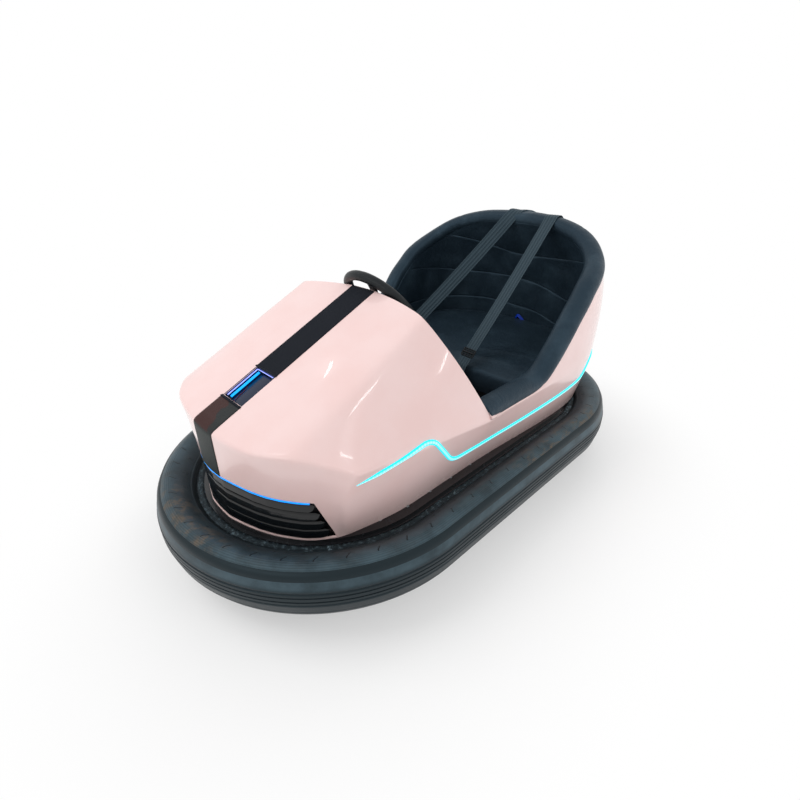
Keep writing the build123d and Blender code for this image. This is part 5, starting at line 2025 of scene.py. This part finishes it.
@dataclass
class SteeringWheel:
    """Moulded steering wheel: ring with grip joints, three spokes and a domed hub."""

    centre: Point = (0.0, -0.145, 0.711)
    rise: float = 38.0
    ring: float = 0.135
    tube: float = 0.0168
    spokes: tuple = (70.0, 190.0, 310.0)
    joint: float = 19.0
    spoke_from: float = 0.024
    spoke_short: float = 0.008
    hub: tuple = ((0.0006, 0.0095), (0.010, 0.0091), (0.018, 0.0078), (0.0215, 0.0062), (0.0222, 0.0050),
                  (0.0232, 0.0050), (0.0240, 0.0060), (0.030, 0.0040), (0.0332, 0.0008), (0.034, -0.004),
                  (0.034, -0.018), (0.0325, -0.0212), (0.024, -0.022), (0.0006, -0.022))

    def axes(self) -> tuple[np.ndarray, np.ndarray, np.ndarray]:
        """Return the wheel's right, its top and the way out of it."""
        a = math.radians(self.rise)
        top, out = (0, -math.sin(a), math.cos(a)), (0, math.cos(a), math.sin(a))
        return np.array(ACROSS), np.array(top), np.array(out)

    def rim(self) -> bpy.types.Object:
        """Make the ring, with finger swells and joints beside the spokes.

        Returns:
            The piece.
        """
        right, top, out = self.axes()
        turn, section = turns(180)[:, None], turns(28)[None, :]
        joints = np.zeros_like(turn)
        for spoke in self.spokes:
            for step in (-self.joint, self.joint):
                joints += bell((np.degrees(turn) - spoke - step + 180) % 360 - 180, 0.9)
        swell = 0.00035 * np.sin(turn * 30) ** 2 * np.clip(-np.cos(section), 0, 1)
        seam = 0.0008 * bell(section - math.pi, 0.10)
        tube = self.tube * (1 - 0.06 * np.abs(np.cos(section))) - 0.0011 * joints - swell - seam
        reach = self.ring + tube * np.cos(section)
        lift = tube * np.sin(section)
        around = np.cos(turn)[..., None] * right + np.sin(turn)[..., None] * top
        points = np.array(self.centre) + around * reach[..., None] + out * lift[..., None]
        runs = run_map(np.linspace(0, 2 * math.pi * self.ring, 181), np.linspace(0, 2 * math.pi * self.tube, 29))
        rim = Mesher.grid("steering_grip", points, runs, closed_u=True, closed_v=True)
        face_out(rim)
        return rim

    def spoke(self, number: int) -> bpy.types.Object:
        """Make one spoke as a loft that flares into the ring.

        Args:
            number: which spoke.

        Returns:
            The spoke.
        """
        right, top, out = self.axes()
        turn, a = turns(20), math.radians(self.spokes[number])
        ahead = math.cos(a) * right + math.sin(a) * top
        side = -math.sin(a) * right + math.cos(a) * top
        flat, round_ = bent(np.cos(turn), 0.5)[:, None], bent(np.sin(turn), 0.7)[:, None]
        rings = []
        for share in np.linspace(0, 1, 16):
            reach = self.spoke_from + (self.ring - self.spoke_short - self.spoke_from) * share
            half = 0.0148 + 0.010 * share ** 5 + 0.004 * (1 - share) ** 3
            thick = 0.0042 + 0.0028 * share ** 3 - 0.0008 * math.sin(share * math.pi)
            level = -0.0035 - 0.003 * math.sin(share * math.pi)
            loop = flat * half * side + round_ * thick * out
            rings.append(np.array(self.centre) + ahead * reach + out * level + loop)
        spoke = Mesher.grid(f"spoke_{number}", np.array(rings), closed_v=True)
        cap_ends(spoke)
        return spoke

    def arms(self) -> bpy.types.Object:
        """Make the spokes as one piece."""
        spokes = Mesher.join("steering_spokes", [self.spoke(number) for number in range(len(self.spokes))])
        Mesher.shade(spokes, 50.0)
        return spokes

    def cap(self) -> bpy.types.Object:
        """Make the hub: a stepped dome with a ring groove."""
        return turned("steering_hub", self.hub, self.centre, tuple(self.axes()[2]), 64)

    def build(self, paints: dict) -> None:
        """Make and dress the wheel."""
        for piece, nodes in ((self.rim(), ("steering_wheel",)), (self.arms(), ()), (self.cap(), ())):
            dress(piece, paints["wheel_grip"], "steering", nodes)


@dataclass(frozen=True)
class Strap:
    """One strap: its word, where it leaves the roll and ends, and how it drifts and twists."""

    word: str
    x: float
    edge: tuple
    foot: tuple
    drift: float
    twist: Point


@dataclass
class Harness:
    """Two webbing straps over the roll to the cushion's front edge, with their slides."""

    lines: SeatLines
    roll: bpy.types.Object
    wide: float = 0.052
    thick: float = 0.0024
    straps: tuple = (Strap("left", 0.160, (0.115, 0.1657), (0.1143, 0.1587), 0.0, (1.0, -0.09, 0.0)),
                     Strap("right", -0.018, (-0.255, 0.1574), (-0.2583, 0.1512), 0.045, (0.68, 0.35, -0.64)))
    edge_z: float = 0.4215
    foot_z: float = 0.1765
    sag: float = 0.010
    bend: float = 0.009
    slide_back: float = 0.060
    slide_half: float = 0.0155
    slide_round: float = 0.004
    bars: tuple = ((0.0, 0.0036, 0.0042), (-0.0085, 0.0022, 0.0030), (0.0085, 0.0022, 0.0030))
    keeper: tuple = ((0.004, 0.654, 0.9445), (0.016, 0.660, 0.9452), (0.030, 0.666, 0.9448), (0.046, 0.674, 0.9420),
                     (0.060, 0.686, 0.9330), (0.066, 0.692, 0.920))
    tab: tuple = ((-0.024, 0.7475, 0.4400), (-0.010, 0.7445, 0.4630), (0.004, 0.7445, 0.4600),
                  (0.026, 0.7475, 0.4400))

    def over_roll(self, tree: BVHTree, x: float, drift: float, count: int) -> np.ndarray:
        """Return points over the roll from behind it to its front, where they reach a given x.

        Args:
            tree: the roll's surface.
            x: where the strap leaves the roll.
            drift: how far across it starts from there.
            count: how many points come back.

        Returns:
            The points.
        """
        middle = self.lines.roll_line(600)
        rear = middle[middle[:, 1] > 0.5]
        points = []
        for share, angle in zip(np.linspace(1, 0, count), np.radians(np.linspace(-24, 150, count))):
            out = Vector((0, math.cos(angle), math.sin(angle)))
            centre = rear[np.abs(rear[:, 0] - x - drift * share).argmin()]
            start = Vector((x + drift * share, centre[1], centre[2]))
            hit = tree.ray_cast(start + out * 0.12, -out, 0.12)[0]
            points.append(np.array(hit or start + out * 0.038) + np.array(out) * 0.0022)
        return np.array(points)

    def line(self, tree: BVHTree, strap: Strap) -> tuple[np.ndarray, np.ndarray]:
        """Return a strap's middle line and the way that its width lies.

        Args:
            tree: the roll's surface.
            strap: the strap.

        Returns:
            The line's points, and a way at each.
        """
        hook = self.over_roll(tree, strap.x, strap.drift, 26)
        edge = np.array((*strap.edge, self.edge_z))
        steps = np.linspace(0, 1, 70)[1:]
        run = hook[-1] + (edge - hook[-1]) * steps[:, None]
        run[:, 2] -= self.sag * np.sin(steps * math.pi)
        top_z = self.edge_z - 0.016
        down = np.array([(*strap.foot, top_z - (top_z - self.foot_z) * t) for t in np.linspace(0, 1, 20)])
        corner = rounded(np.vstack([run[-3], edge, down[0]]), (self.bend,), 9)[1:-1]
        line = np.vstack([hook, run[:-3], corner, down])
        flat = unit(np.array((edge[0] - strap.x, edge[1] - hook[-1][1])))
        slanted = np.array((-flat[1], flat[0], 0.0))
        slanted = slanted * np.sign(slanted[0])
        share = np.clip((lengths(line) - lengths(hook)[-1] + 0.05) / 0.12, 0, 1)
        share = eased(share)[:, None]
        at_edge = np.clip(1 - np.linalg.norm(line - edge, axis=1) / 0.12, 0, 1)[:, None]
        middle = unit(np.array(strap.twist)) * (1 - at_edge) + slanted * at_edge
        across = unit(np.array(ACROSS) * (1 - share) + middle * share)
        LOG.info("strap %s: %.0f mm long", strap.word, lengths(line)[-1] / MM)
        return line, across

    def slide(self, word: str, middle: np.ndarray, ahead: np.ndarray, side: np.ndarray) -> bpy.types.Object:
        """Make a slide: a frame round the strap and three knurled bars.

        Args:
            word: the strap's side.
            middle: the slide's middle.
            ahead: the way that the strap runs.
            side: the way that its width lies.

        Returns:
            The piece.
        """
        out = np.cross(side, ahead)
        out *= np.sign(out[2])
        wide, long, r = self.wide / 2 + 0.0030, self.slide_half, self.slide_round
        plan = np.array([(a * (wide - r) + r * math.cos(t), b * (long - r) + r * math.sin(t))
                         for k, (a, b) in enumerate(((-1, -1), (1, -1), (1, 1), (-1, 1)))
                         for t in np.linspace(0, math.pi / 2, 5) + math.pi + k * math.pi / 2])
        line = middle + plan[:, :1] * side + plan[:, 1:] * ahead + out * 0.0016
        section = oval(0.0026, 0.0032, 12)[0]
        parts = [sweep(f"slide_frame_{word}", line, section, closed=True, up=tuple(out))]
        turn = turns(12)
        knurl = 1 + 0.10 * np.sin(np.arange(64) * math.pi * 0.5)[:, None] * np.cos(turn * 6)[None, :]
        for place, radius, lift in self.bars:
            bar = middle + np.linspace(-wide, wide, 64)[:, None] * side + ahead * place + out * lift
            loops = np.stack([radius * knurl * np.cos(turn), radius * knurl * np.sin(turn)], axis=-1)
            parts.append(sweep(f"slide_bar_{word}", bar, loops, up=tuple(out)))
            cap_ends(parts[-1])
        slide = Mesher.join(f"harness_slide_{word}", parts)
        face_out(slide)
        Mesher.shade(slide, 35.0)
        return slide

    @staticmethod
    def band(name: str, points: Sequence[Point], count: int, across: Point, size: tuple) -> bpy.types.Object:
        """Make a narrow band through points, its width lying one way."""
        line = smooth_line(points, count)
        return ribbon(name, line, np.tile(np.array(across), (count, 1)), *size)

    def build(self, paints: dict) -> None:
        """Make and dress the straps and slides, the keeper on the roll and the tab behind the seat.

        Args:
            paints: the materials by name.
        """
        tree = BVHTree.FromObject(self.roll, bpy.context.evaluated_depsgraph_get())
        for strap in self.straps:
            word = strap.word
            line, across = self.line(tree, strap)
            web = ribbon(f"harness_webbing_{word}", line, across, self.wide, self.thick)
            dress(web, paints["webbing"], stands_for=(f"harness_strap_{word}",))
            run = lengths(line)
            edge_run = run[np.linalg.norm(line - np.array((*strap.edge, self.edge_z)), axis=1).argmin()]
            at = int(np.abs(run - edge_run + self.slide_back).argmin())
            slide = self.slide(word, line[at], unit(line[at + 1] - line[at - 1]), across[at])
            dress(slide, paints["buckle_plastic"], stands_for=(f"harness_adjuster_{word}",))
        keeper = self.band("harness_keeper", self.keeper, 40, (0.25, 0.9, 0.35), (0.009, 0.0016))
        dress(keeper, paints["webbing"])
        tab = self.band("seat_tab", self.tab, 30, (0.0, 0.35, 0.94), (0.013, 0.0022))
        dress(tab, paints["tab_blue"])


@dataclass
class RoadWheels:
    """Solid tyres with cut treads, and bolted hubs, of the drive wheel and the two rear wheels."""

    wheels: tuple = (("drive", "drive_wheel", (0.0, -0.52, 0.085), 0.085, 0.060, 0.058, "drive_tyre"),
                     ("rear_left", "rear_wheel_left", (0.29, 0.56, 0.068), 0.068, 0.045, 0.046, "rear_tyre_left"),
                     ("rear_right", "rear_wheel_right", (-0.29, 0.56, 0.068), 0.068, 0.045, 0.046, "rear_tyre_right"))
    cut_pitch: float = 0.019
    cut_deep: float = 0.0026

    def tyre(self, name: str, centre: Point, radius: float, wide: float, hub: float) -> bpy.types.Object:
        """Make one tyre with slanted cuts in its tread.

        Args:
            name: the wheel's name.
            centre: its middle.
            radius: its radius.
            wide: its width.
            hub: the hub's radius.

        Returns:
            The piece.
        """
        half = wide / 2
        edge = [(radius, s * half * 0.74) for s in np.linspace(-1, 1, 15)]
        side = [(radius - 0.0012, half * 0.84), (radius - 0.0042, half * 0.97), (radius - 0.010, half),
                (hub + 0.006, half), (hub + 0.0015, half - 0.0015), (hub, half - 0.003)]
        profile = edge + side + [(r, -h) for r, h in side[::-1]]
        cuts = round(2 * math.pi * radius / self.cut_pitch)

        def groove(turn: np.ndarray, high: np.ndarray) -> np.ndarray:
            """Return how deep the tread is cut."""
            phase = (turn * cuts / (2 * math.pi) + np.abs(high) * 42.0) % 1.0
            flat = (np.abs(high) < half * 0.78) & (np.abs(high) > 0.0022)
            return self.cut_deep * (phase < 0.24) * flat

        return turned(f"{name}_tread", profile, centre, ACROSS, cuts * 8, groove)

    def build(self, paints: dict) -> None:
        """Make and dress the tyres and hub bolts.

        Args:
            paints: the materials by name.
        """
        for name, body, centre, radius, wide, hub, node in self.wheels:
            dress(self.tyre(name, centre, radius, wide, hub), paints["wheel_rubber"], body, (node,))
            for word, sign in (("outer", 1), ("inner", -1)):
                places = [(centre[0] + sign * (wide / 2 - 0.002), centre[1] + (hub - 0.004) * math.cos(t),
                           centre[2] + (hub - 0.004) * math.sin(t)) for t in np.radians(np.arange(5) * 72 + 18)]
                heads = bolts(f"{name}_hub_bolts_{word}", places, (sign, 0, 0), 0.0028)
                dress(heads, paints["axle_steel"], body)


@dataclass
class Underside:
    """Bolts of the floor, bearing and frame, the motor's fins and the pedal's pad."""

    pan_under: float = 0.154
    pan_top: float = 0.158
    drive: Point = (0.0, -0.52, 0.085)
    bearing: float = 0.180
    rail_x: float = 0.235
    rail_y: tuple = (-0.50, -0.28, 0.12, 0.44, 0.58)
    bridge: tuple = (0.211, 0.190)
    lid: tuple = (0.030, 0.4625)
    anchors: tuple = ((0.1143, 0.1507, 0.1742), (-0.2583, 0.1432, 0.1742))
    motor_ends: tuple = (0.0482, 0.1398)
    fin_pitch: float = 0.0058
    pedal_at: tuple = (-0.215, -0.300)

    def ring(self, count: int, inset: float, z: float) -> list[Point]:
        """Return places spaced round the stadium at an inset from the tread."""
        plan = BumperTyre().outline(inset, 200)
        closed = np.vstack([plan, plan[:1]])
        return [(p[0], p[1], z) for p in spaced(closed, count + 1)[:-1]]

    def heads(self) -> list[tuple]:
        """Return each row of bolts: its name, its places, the way that it points and its radius.

        Returns:
            The rows.
        """
        y = self.drive[1]
        around = np.radians(np.arange(12) * 30 + 15)
        bearing = [(self.bearing * math.cos(t), y + self.bearing * math.sin(t), self.pan_under) for t in around]
        rails = [(side.value * self.rail_x, at, 0.124) for side in (Side.RIGHT, Side.LEFT) for at in self.rail_y]
        x, z = self.bridge
        bridge = {side: [(side.value * x, y + step, z) for step in (-0.02, 0.02)] for side in Side}
        half, top = self.lid
        lid = [(a * half, y + b * half, top) for a in (-1, 1) for b in (-1, 1)]
        return [("pan_bolts", self.ring(36, 0.176, 0.150), DOWN, 0.0048),
                ("deck_bolts", self.ring(40, 0.190, 0.220), UP, 0.0042),
                ("bearing_bolts", bearing, DOWN, 0.0052),
                ("frame_bolts", rails, DOWN, 0.0058),
                ("bridge_bolts_left", bridge[Side.LEFT], (1, 0, 0), 0.0050),
                ("bridge_bolts_right", bridge[Side.RIGHT], (-1, 0, 0), 0.0050),
                ("gearbox_bolts", lid, UP, 0.0042)]

    def motor(self) -> bpy.types.Object:
        """Make the drive motor: finned body, end caps and cable gland.

        Returns:
            The piece.
        """
        x0, x1 = self.motor_ends
        form = [(0.0006, x0), (0.050, x0), (0.0535, x0 + 0.002), (0.0535, x0 + 0.009)]
        for x in np.arange(x0 + 0.012, x1 - 0.018, self.fin_pitch):
            form += [(0.0478, x), (0.0478, x + 0.0026), (0.0542, x + 0.0030), (0.0542, x + 0.0054)]
        form += [(0.0490, x1 - 0.014), (0.0535, x1 - 0.012), (0.0535, x1 - 0.003), (0.050, x1), (0.022, x1),
                 (0.020, x1 - 0.003), (0.0006, x1 - 0.003)]
        return turned("drive_motor_case", form, self.drive, ACROSS, 72)

    def pedal(self) -> bpy.types.Object:
        """Make the accelerator pedal's ribbed pad.

        Returns:
            The piece.
        """
        x, y, z = *self.pedal_at, self.pan_top
        s, t = np.meshgrid(np.linspace(0, 1, 41), np.linspace(-1, 1, 15), indexing="ij")
        rib = 0.0022 * (np.sin(s * 2 * math.pi * 9) > 0) * (s > 0.06) * (s < 0.94)
        lift = rib * (np.abs(t) < 0.86) - 0.003 * np.abs(t) ** 6 - 0.003 * np.abs(2 * s - 1) ** 10
        points = np.stack([x + 0.0395 * t, y + 0.044 - 0.114 * s, z + 0.0115 + 0.0815 * s + lift], axis=-1)
        pad = Mesher.grid("pedal_pad", points)
        Mesher.face(pad, UP)
        Mesher.modify(pad, "SOLIDIFY", thickness=0.006, offset=-1.0)
        Mesher.shade(pad, 40.0)
        return pad

    def build(self, paints: dict) -> None:
        """Make and dress the small parts.

        Args:
            paints: the materials by name.
        """
        for name, places, way, radius in self.heads():
            dress(bolts(name, places, way, radius), paints["axle_steel"])
        dress(self.motor(), paints["motor_paint"], "drive_unit", ("drive_motor",))
        dress(self.pedal(), paints["pedal_rubber"])
        dress(bolts("anchor_bolts", self.anchors, UP, 0.0036), paints["bracket_steel"])


def placed(right: Vector, up: Vector, back: Vector, place: Sequence[float]) -> Matrix:
    """Return the matrix of an object from its own axes and its place."""
    return Matrix([(right[k], up[k], back[k], place[k]) for k in range(3)] + [(0, 0, 0, 1)])


@dataclass
class Studio:
    """Camera of the photograph, pale floor and soft lamps."""

    eye: Point = (1.1446, -1.1618, 1.1587)
    azimuth: float = 46.076
    elevation: float = 28.197
    roll: float = -0.506
    lens: float = 20.67
    sensor: float = 36.0
    nearest: float = 0.02
    white: float = 1.0
    fill: float = 0.62
    glossy: float = 0.55
    floor_half: float = 14.0
    lamps: tuple = (("key", (-1.6, -2.2, 3.2), (0, 0, 0.4), (2.4, 2.4), 62.0),
                    ("side", (3.2, 0.6, 2.0), (0, 0, 0.4), (2.0, 2.0), 22.0),
                    ("back", (-0.6, 3.2, 2.8), (0, 0.3, 0.5), (2.2, 1.6), 26.0))
    front: tuple = ((-0.4, -3.3, 2.3), (1.6, -3.0, 2.3), (0.3, -0.8, 0.25), 1.0, 1.6)
    streak: float = 14.0
    streaks: tuple = (((-1.916, -0.565, 2.752), (-2.012, -0.370, 2.703), (0.19, -0.51, 0.64), 0.035),
                      ((2.083, -0.627, 2.998), (2.282, -0.200, 2.893), (0.348, -0.528, 0.582), 0.05),
                      ((-0.993, -2.134, 2.880), (-0.453, -1.825, 3.218), (0.275, -0.745, 0.525), 0.05),
                      ((2.807, 1.268, 1.497), (2.720, 1.355, 1.642), (0.37, -0.24, 0.644), 0.06))

    def aim(self) -> None:
        """Place the camera."""
        a, e, r = (math.radians(v) for v in (self.azimuth, self.elevation, self.roll))
        back = Vector((math.sin(a) * math.cos(e), -math.cos(a) * math.cos(e), math.sin(e)))
        right = (-back).cross(Vector(UP)).normalized()
        up = right.cross(-back)
        level = math.cos(r) * right + math.sin(r) * up
        rise = -math.sin(r) * right + math.cos(r) * up
        data = bpy.data.cameras.new("camera")
        data.lens, data.sensor_width, data.clip_start = self.lens, self.sensor, self.nearest
        camera = add_object("camera", data)
        camera.matrix_world = placed(level, rise, back, self.eye)
        bpy.context.scene.camera = camera

    @staticmethod
    def area(name: str, wide: float, high: float, watts: float) -> bpy.types.Object:
        """Add a rectangular lamp of a given size and power."""
        data = bpy.data.lights.new(name, "AREA")
        data.shape, data.size, data.size_y, data.energy = "RECTANGLE", wide, high, watts
        return add_object(name, data)

    def lamp(self, name: str, place: Point, target: Point, size: tuple[float, float], watts: float) -> None:
        """Hang a soft lamp that doesn't show in the gloss.

        Args:
            name: the lamp's name.
            place: where it hangs.
            target: the point that it faces.
            size: its width and height in metres.
            watts: its power.
        """
        lamp = self.area(name, *size, watts)
        lamp.location = place
        lamp.rotation_euler = (Vector(target) - Vector(place)).to_track_quat("-Z", "Y").to_euler()
        lamp.visible_glossy = False

    def strip(self, name: str, a: Point, b: Point, target: Point, wide: float, level: float) -> None:
        """Hang a narrow lamp that only shows as a streak in the gloss.

        Args:
            name: the lamp's name.
            a: the middle of one end.
            b: the middle of the other end.
            target: the point that it faces.
            wide: its width.
            level: how bright its face is.
        """
        start, end = Vector(a), Vector(b)
        middle, long = (start + end) / 2, (end - start).length
        lamp = self.area(name, long, wide, level * math.pi * long * wide)
        along = (end - start).normalized()
        side = (middle - Vector(target)).normalized().cross(along).normalized()
        lamp.matrix_world = placed(along, side, along.cross(side), middle)
        lamp.visible_diffuse = False

    def world(self) -> None:
        """Set the world: white to the camera and in reflections, a plain fill elsewhere."""
        world = bpy.data.worlds.new("studio")
        bpy.context.scene.world = world
        g = Graph(world)
        share = g.ray("Camera").most(g.ray("Transmission")).most(g.ray("Glossy") * self.glossy)
        level = g.node("ShaderNodeMapRange", values={"Value": share, "To Min": self.fill, "To Max": self.white})
        light = g.node("ShaderNodeBackground", values={"Color": (1.0, 1.0, 1.0), "Strength": level})
        g.node("ShaderNodeOutputWorld", values={"Surface": light})

    def floor(self) -> None:
        """Lay the pale floor."""
        edge = np.linspace(-self.floor_half, self.floor_half, 9)
        points = np.stack([*np.meshgrid(edge, edge), np.zeros((9, 9))], axis=-1)
        floor = Mesher.grid("floor", points)
        floor.data.materials.append(Backdrop().paint("floor_paper"))

    def build(self) -> None:
        """Set up the whole studio."""
        bpy.context.scene.view_settings.view_transform = "Standard"
        self.aim()
        self.world()
        self.floor()
        for lamp in self.lamps:
            self.lamp(*lamp)
        self.strip("front", *self.front)
        for number, streak in enumerate(self.streaks, 1):
            self.strip(f"streak_{number}", *streak, self.streak)


PAINTS: dict[str, Finish] = {
    "body_gelcoat": Gelcoat(),
    "gloss_black": Coated(colour=(0.004, 0.005, 0.006), rubbed=(0.03, 0.035, 0.04), rough=0.10, coat=0.2, wear=0.2,
                          shine=0.35),
    "light_blue": Neon(glow=(0.0, 0.12, 0.85), core=(0.0, 0.42, 1.0), pitch=0.0),
    "grille_shadow": Coated(colour=(0.004, 0.004, 0.005), rubbed=(0.02, 0.02, 0.022), rough=0.28),
    "tray_tint": Coated(colour=(0.004, 0.014, 0.044), rubbed=(0.02, 0.05, 0.11), rough=0.14, coat=0.2, wear=0.15,
                        shine=0.3),
    "tray_azure": Neon(glow=(0.0, 0.32, 0.95), core=(0.02, 0.55, 1.0), pitch=0.0),
    "tray_pale": Neon(glow=(0.22, 0.27, 0.85), core=(0.55, 0.62, 1.0), pitch=40.0),
    "tab_blue": Coated(colour=(0.0, 0.035, 0.42), rubbed=(0.02, 0.10, 0.6), rough=0.45, grain=900),
    "red_wire": Coated(colour=(0.16, 0.006, 0.008), rubbed=(0.3, 0.05, 0.05), rough=0.35),
    "light_cyan": Neon(),
    "stripe_felt": Felt(),
    "stripe_gloss": Lacquer(),
    "bumper_rubber": CasingRubber(),
    "rim_steel": Coated(colour=(0.008, 0.009, 0.011), rubbed=(0.05, 0.06, 0.07), rough=0.25, coat=0.3),
    "pan_steel": Coated(colour=(0.05, 0.05, 0.052), rubbed=(0.14, 0.12, 0.10), rough=0.5),
    "frame_steel": Coated(colour=(0.03, 0.03, 0.033), rubbed=(0.16, 0.12, 0.09), rough=0.45),
    "seat_leather": Leatherette(),
    "seat_shell": Coated(colour=(0.012, 0.013, 0.015), rough=0.35, wear=0.2),
    "webbing": Webbing(),
    "buckle_plastic": Coated(colour=(0.007, 0.009, 0.011), rubbed=(0.05, 0.06, 0.07), rough=0.3, shine=0.3),
    "bracket_steel": Coated(colour=(0.06, 0.06, 0.062), rubbed=(0.2, 0.17, 0.14), rough=0.45),
    "wheel_grip": Coated(colour=(0.008, 0.011, 0.013), rubbed=(0.04, 0.05, 0.055), rough=0.40, grain=900,
                         depth=0.0005, shine=0.3),
    "column_steel": Coated(colour=(0.45, 0.45, 0.46), rubbed=(0.6, 0.6, 0.6), rough=0.3, metal=1.0),
    "gearbox_cast": Coated(colour=(0.12, 0.12, 0.125), rubbed=(0.25, 0.23, 0.2), rough=0.55, metal=0.6, depth=0.001),
    "drive_steel": Coated(colour=(0.08, 0.08, 0.085), rubbed=(0.2, 0.17, 0.14), rough=0.45, metal=0.3),
    "motor_paint": Coated(colour=(0.025, 0.025, 0.03), rubbed=(0.14, 0.12, 0.1), rough=0.4),
    "wheel_rubber": Coated(colour=(0.02, 0.02, 0.021), rubbed=(0.14, 0.13, 0.12), rough=0.7, grain=700, depth=0.0006),
    "hub_alloy": Coated(colour=(0.55, 0.55, 0.56), rubbed=(0.35, 0.34, 0.33), rough=0.35, metal=1.0),
    "axle_steel": Coated(colour=(0.38, 0.38, 0.39), rubbed=(0.22, 0.15, 0.1), rough=0.35, metal=1.0),
    "battery_case": Coated(colour=(0.02, 0.02, 0.024), rubbed=(0.1, 0.1, 0.1), rough=0.5, grain=500),
    "pedal_rubber": Coated(colour=(0.02, 0.02, 0.021), rubbed=(0.12, 0.11, 0.1), rough=0.65, grain=600, depth=0.0006),
}


@dataclass
class Car:
    """The whole bumper car: its materials and sub-assemblies."""

    paints: dict = field(default_factory=dict)

    def paint_nodes(self) -> None:
        """Make the materials and give each node of the frame its own."""
        self.paints = {name: finish.paint(f"{name}_paint") for name, finish in PAINTS.items()}
        for part in frame["record"]["subparts"]:
            node = frame["nodes"][part["node"]]
            node.data.materials.clear()
            node.data.materials.append(self.paints[part["material_slot"]])

    def build(self) -> None:
        """Build every sub-assembly in order."""
        self.paint_nodes()
        body, seat = BodySkin(), Seat()
        dress(body.build(), self.paints["body_gelcoat"], stands_for=("front_cowl", "rear_tub"))
        dress(BumperTyre().build(), self.paints["bumper_rubber"], stands_for=("bumper_tyre",))
        for part in (HoodStripe(body), SideLights(body), NoseGrille(body), LightTray(), seat):
            part.build(self.paints)
        for part in (Harness(seat.lines, seat.roll_piece), SteeringWheel(), RoadWheels(), Underside()):
            part.build(self.paints)


def main() -> None:
    """Build the car and the studio."""
    logging.basicConfig(level=logging.INFO, format="%(name)s %(message)s")
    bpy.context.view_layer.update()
    Car().build()
    Studio().build()


if __name__ == "__main__":
    main()
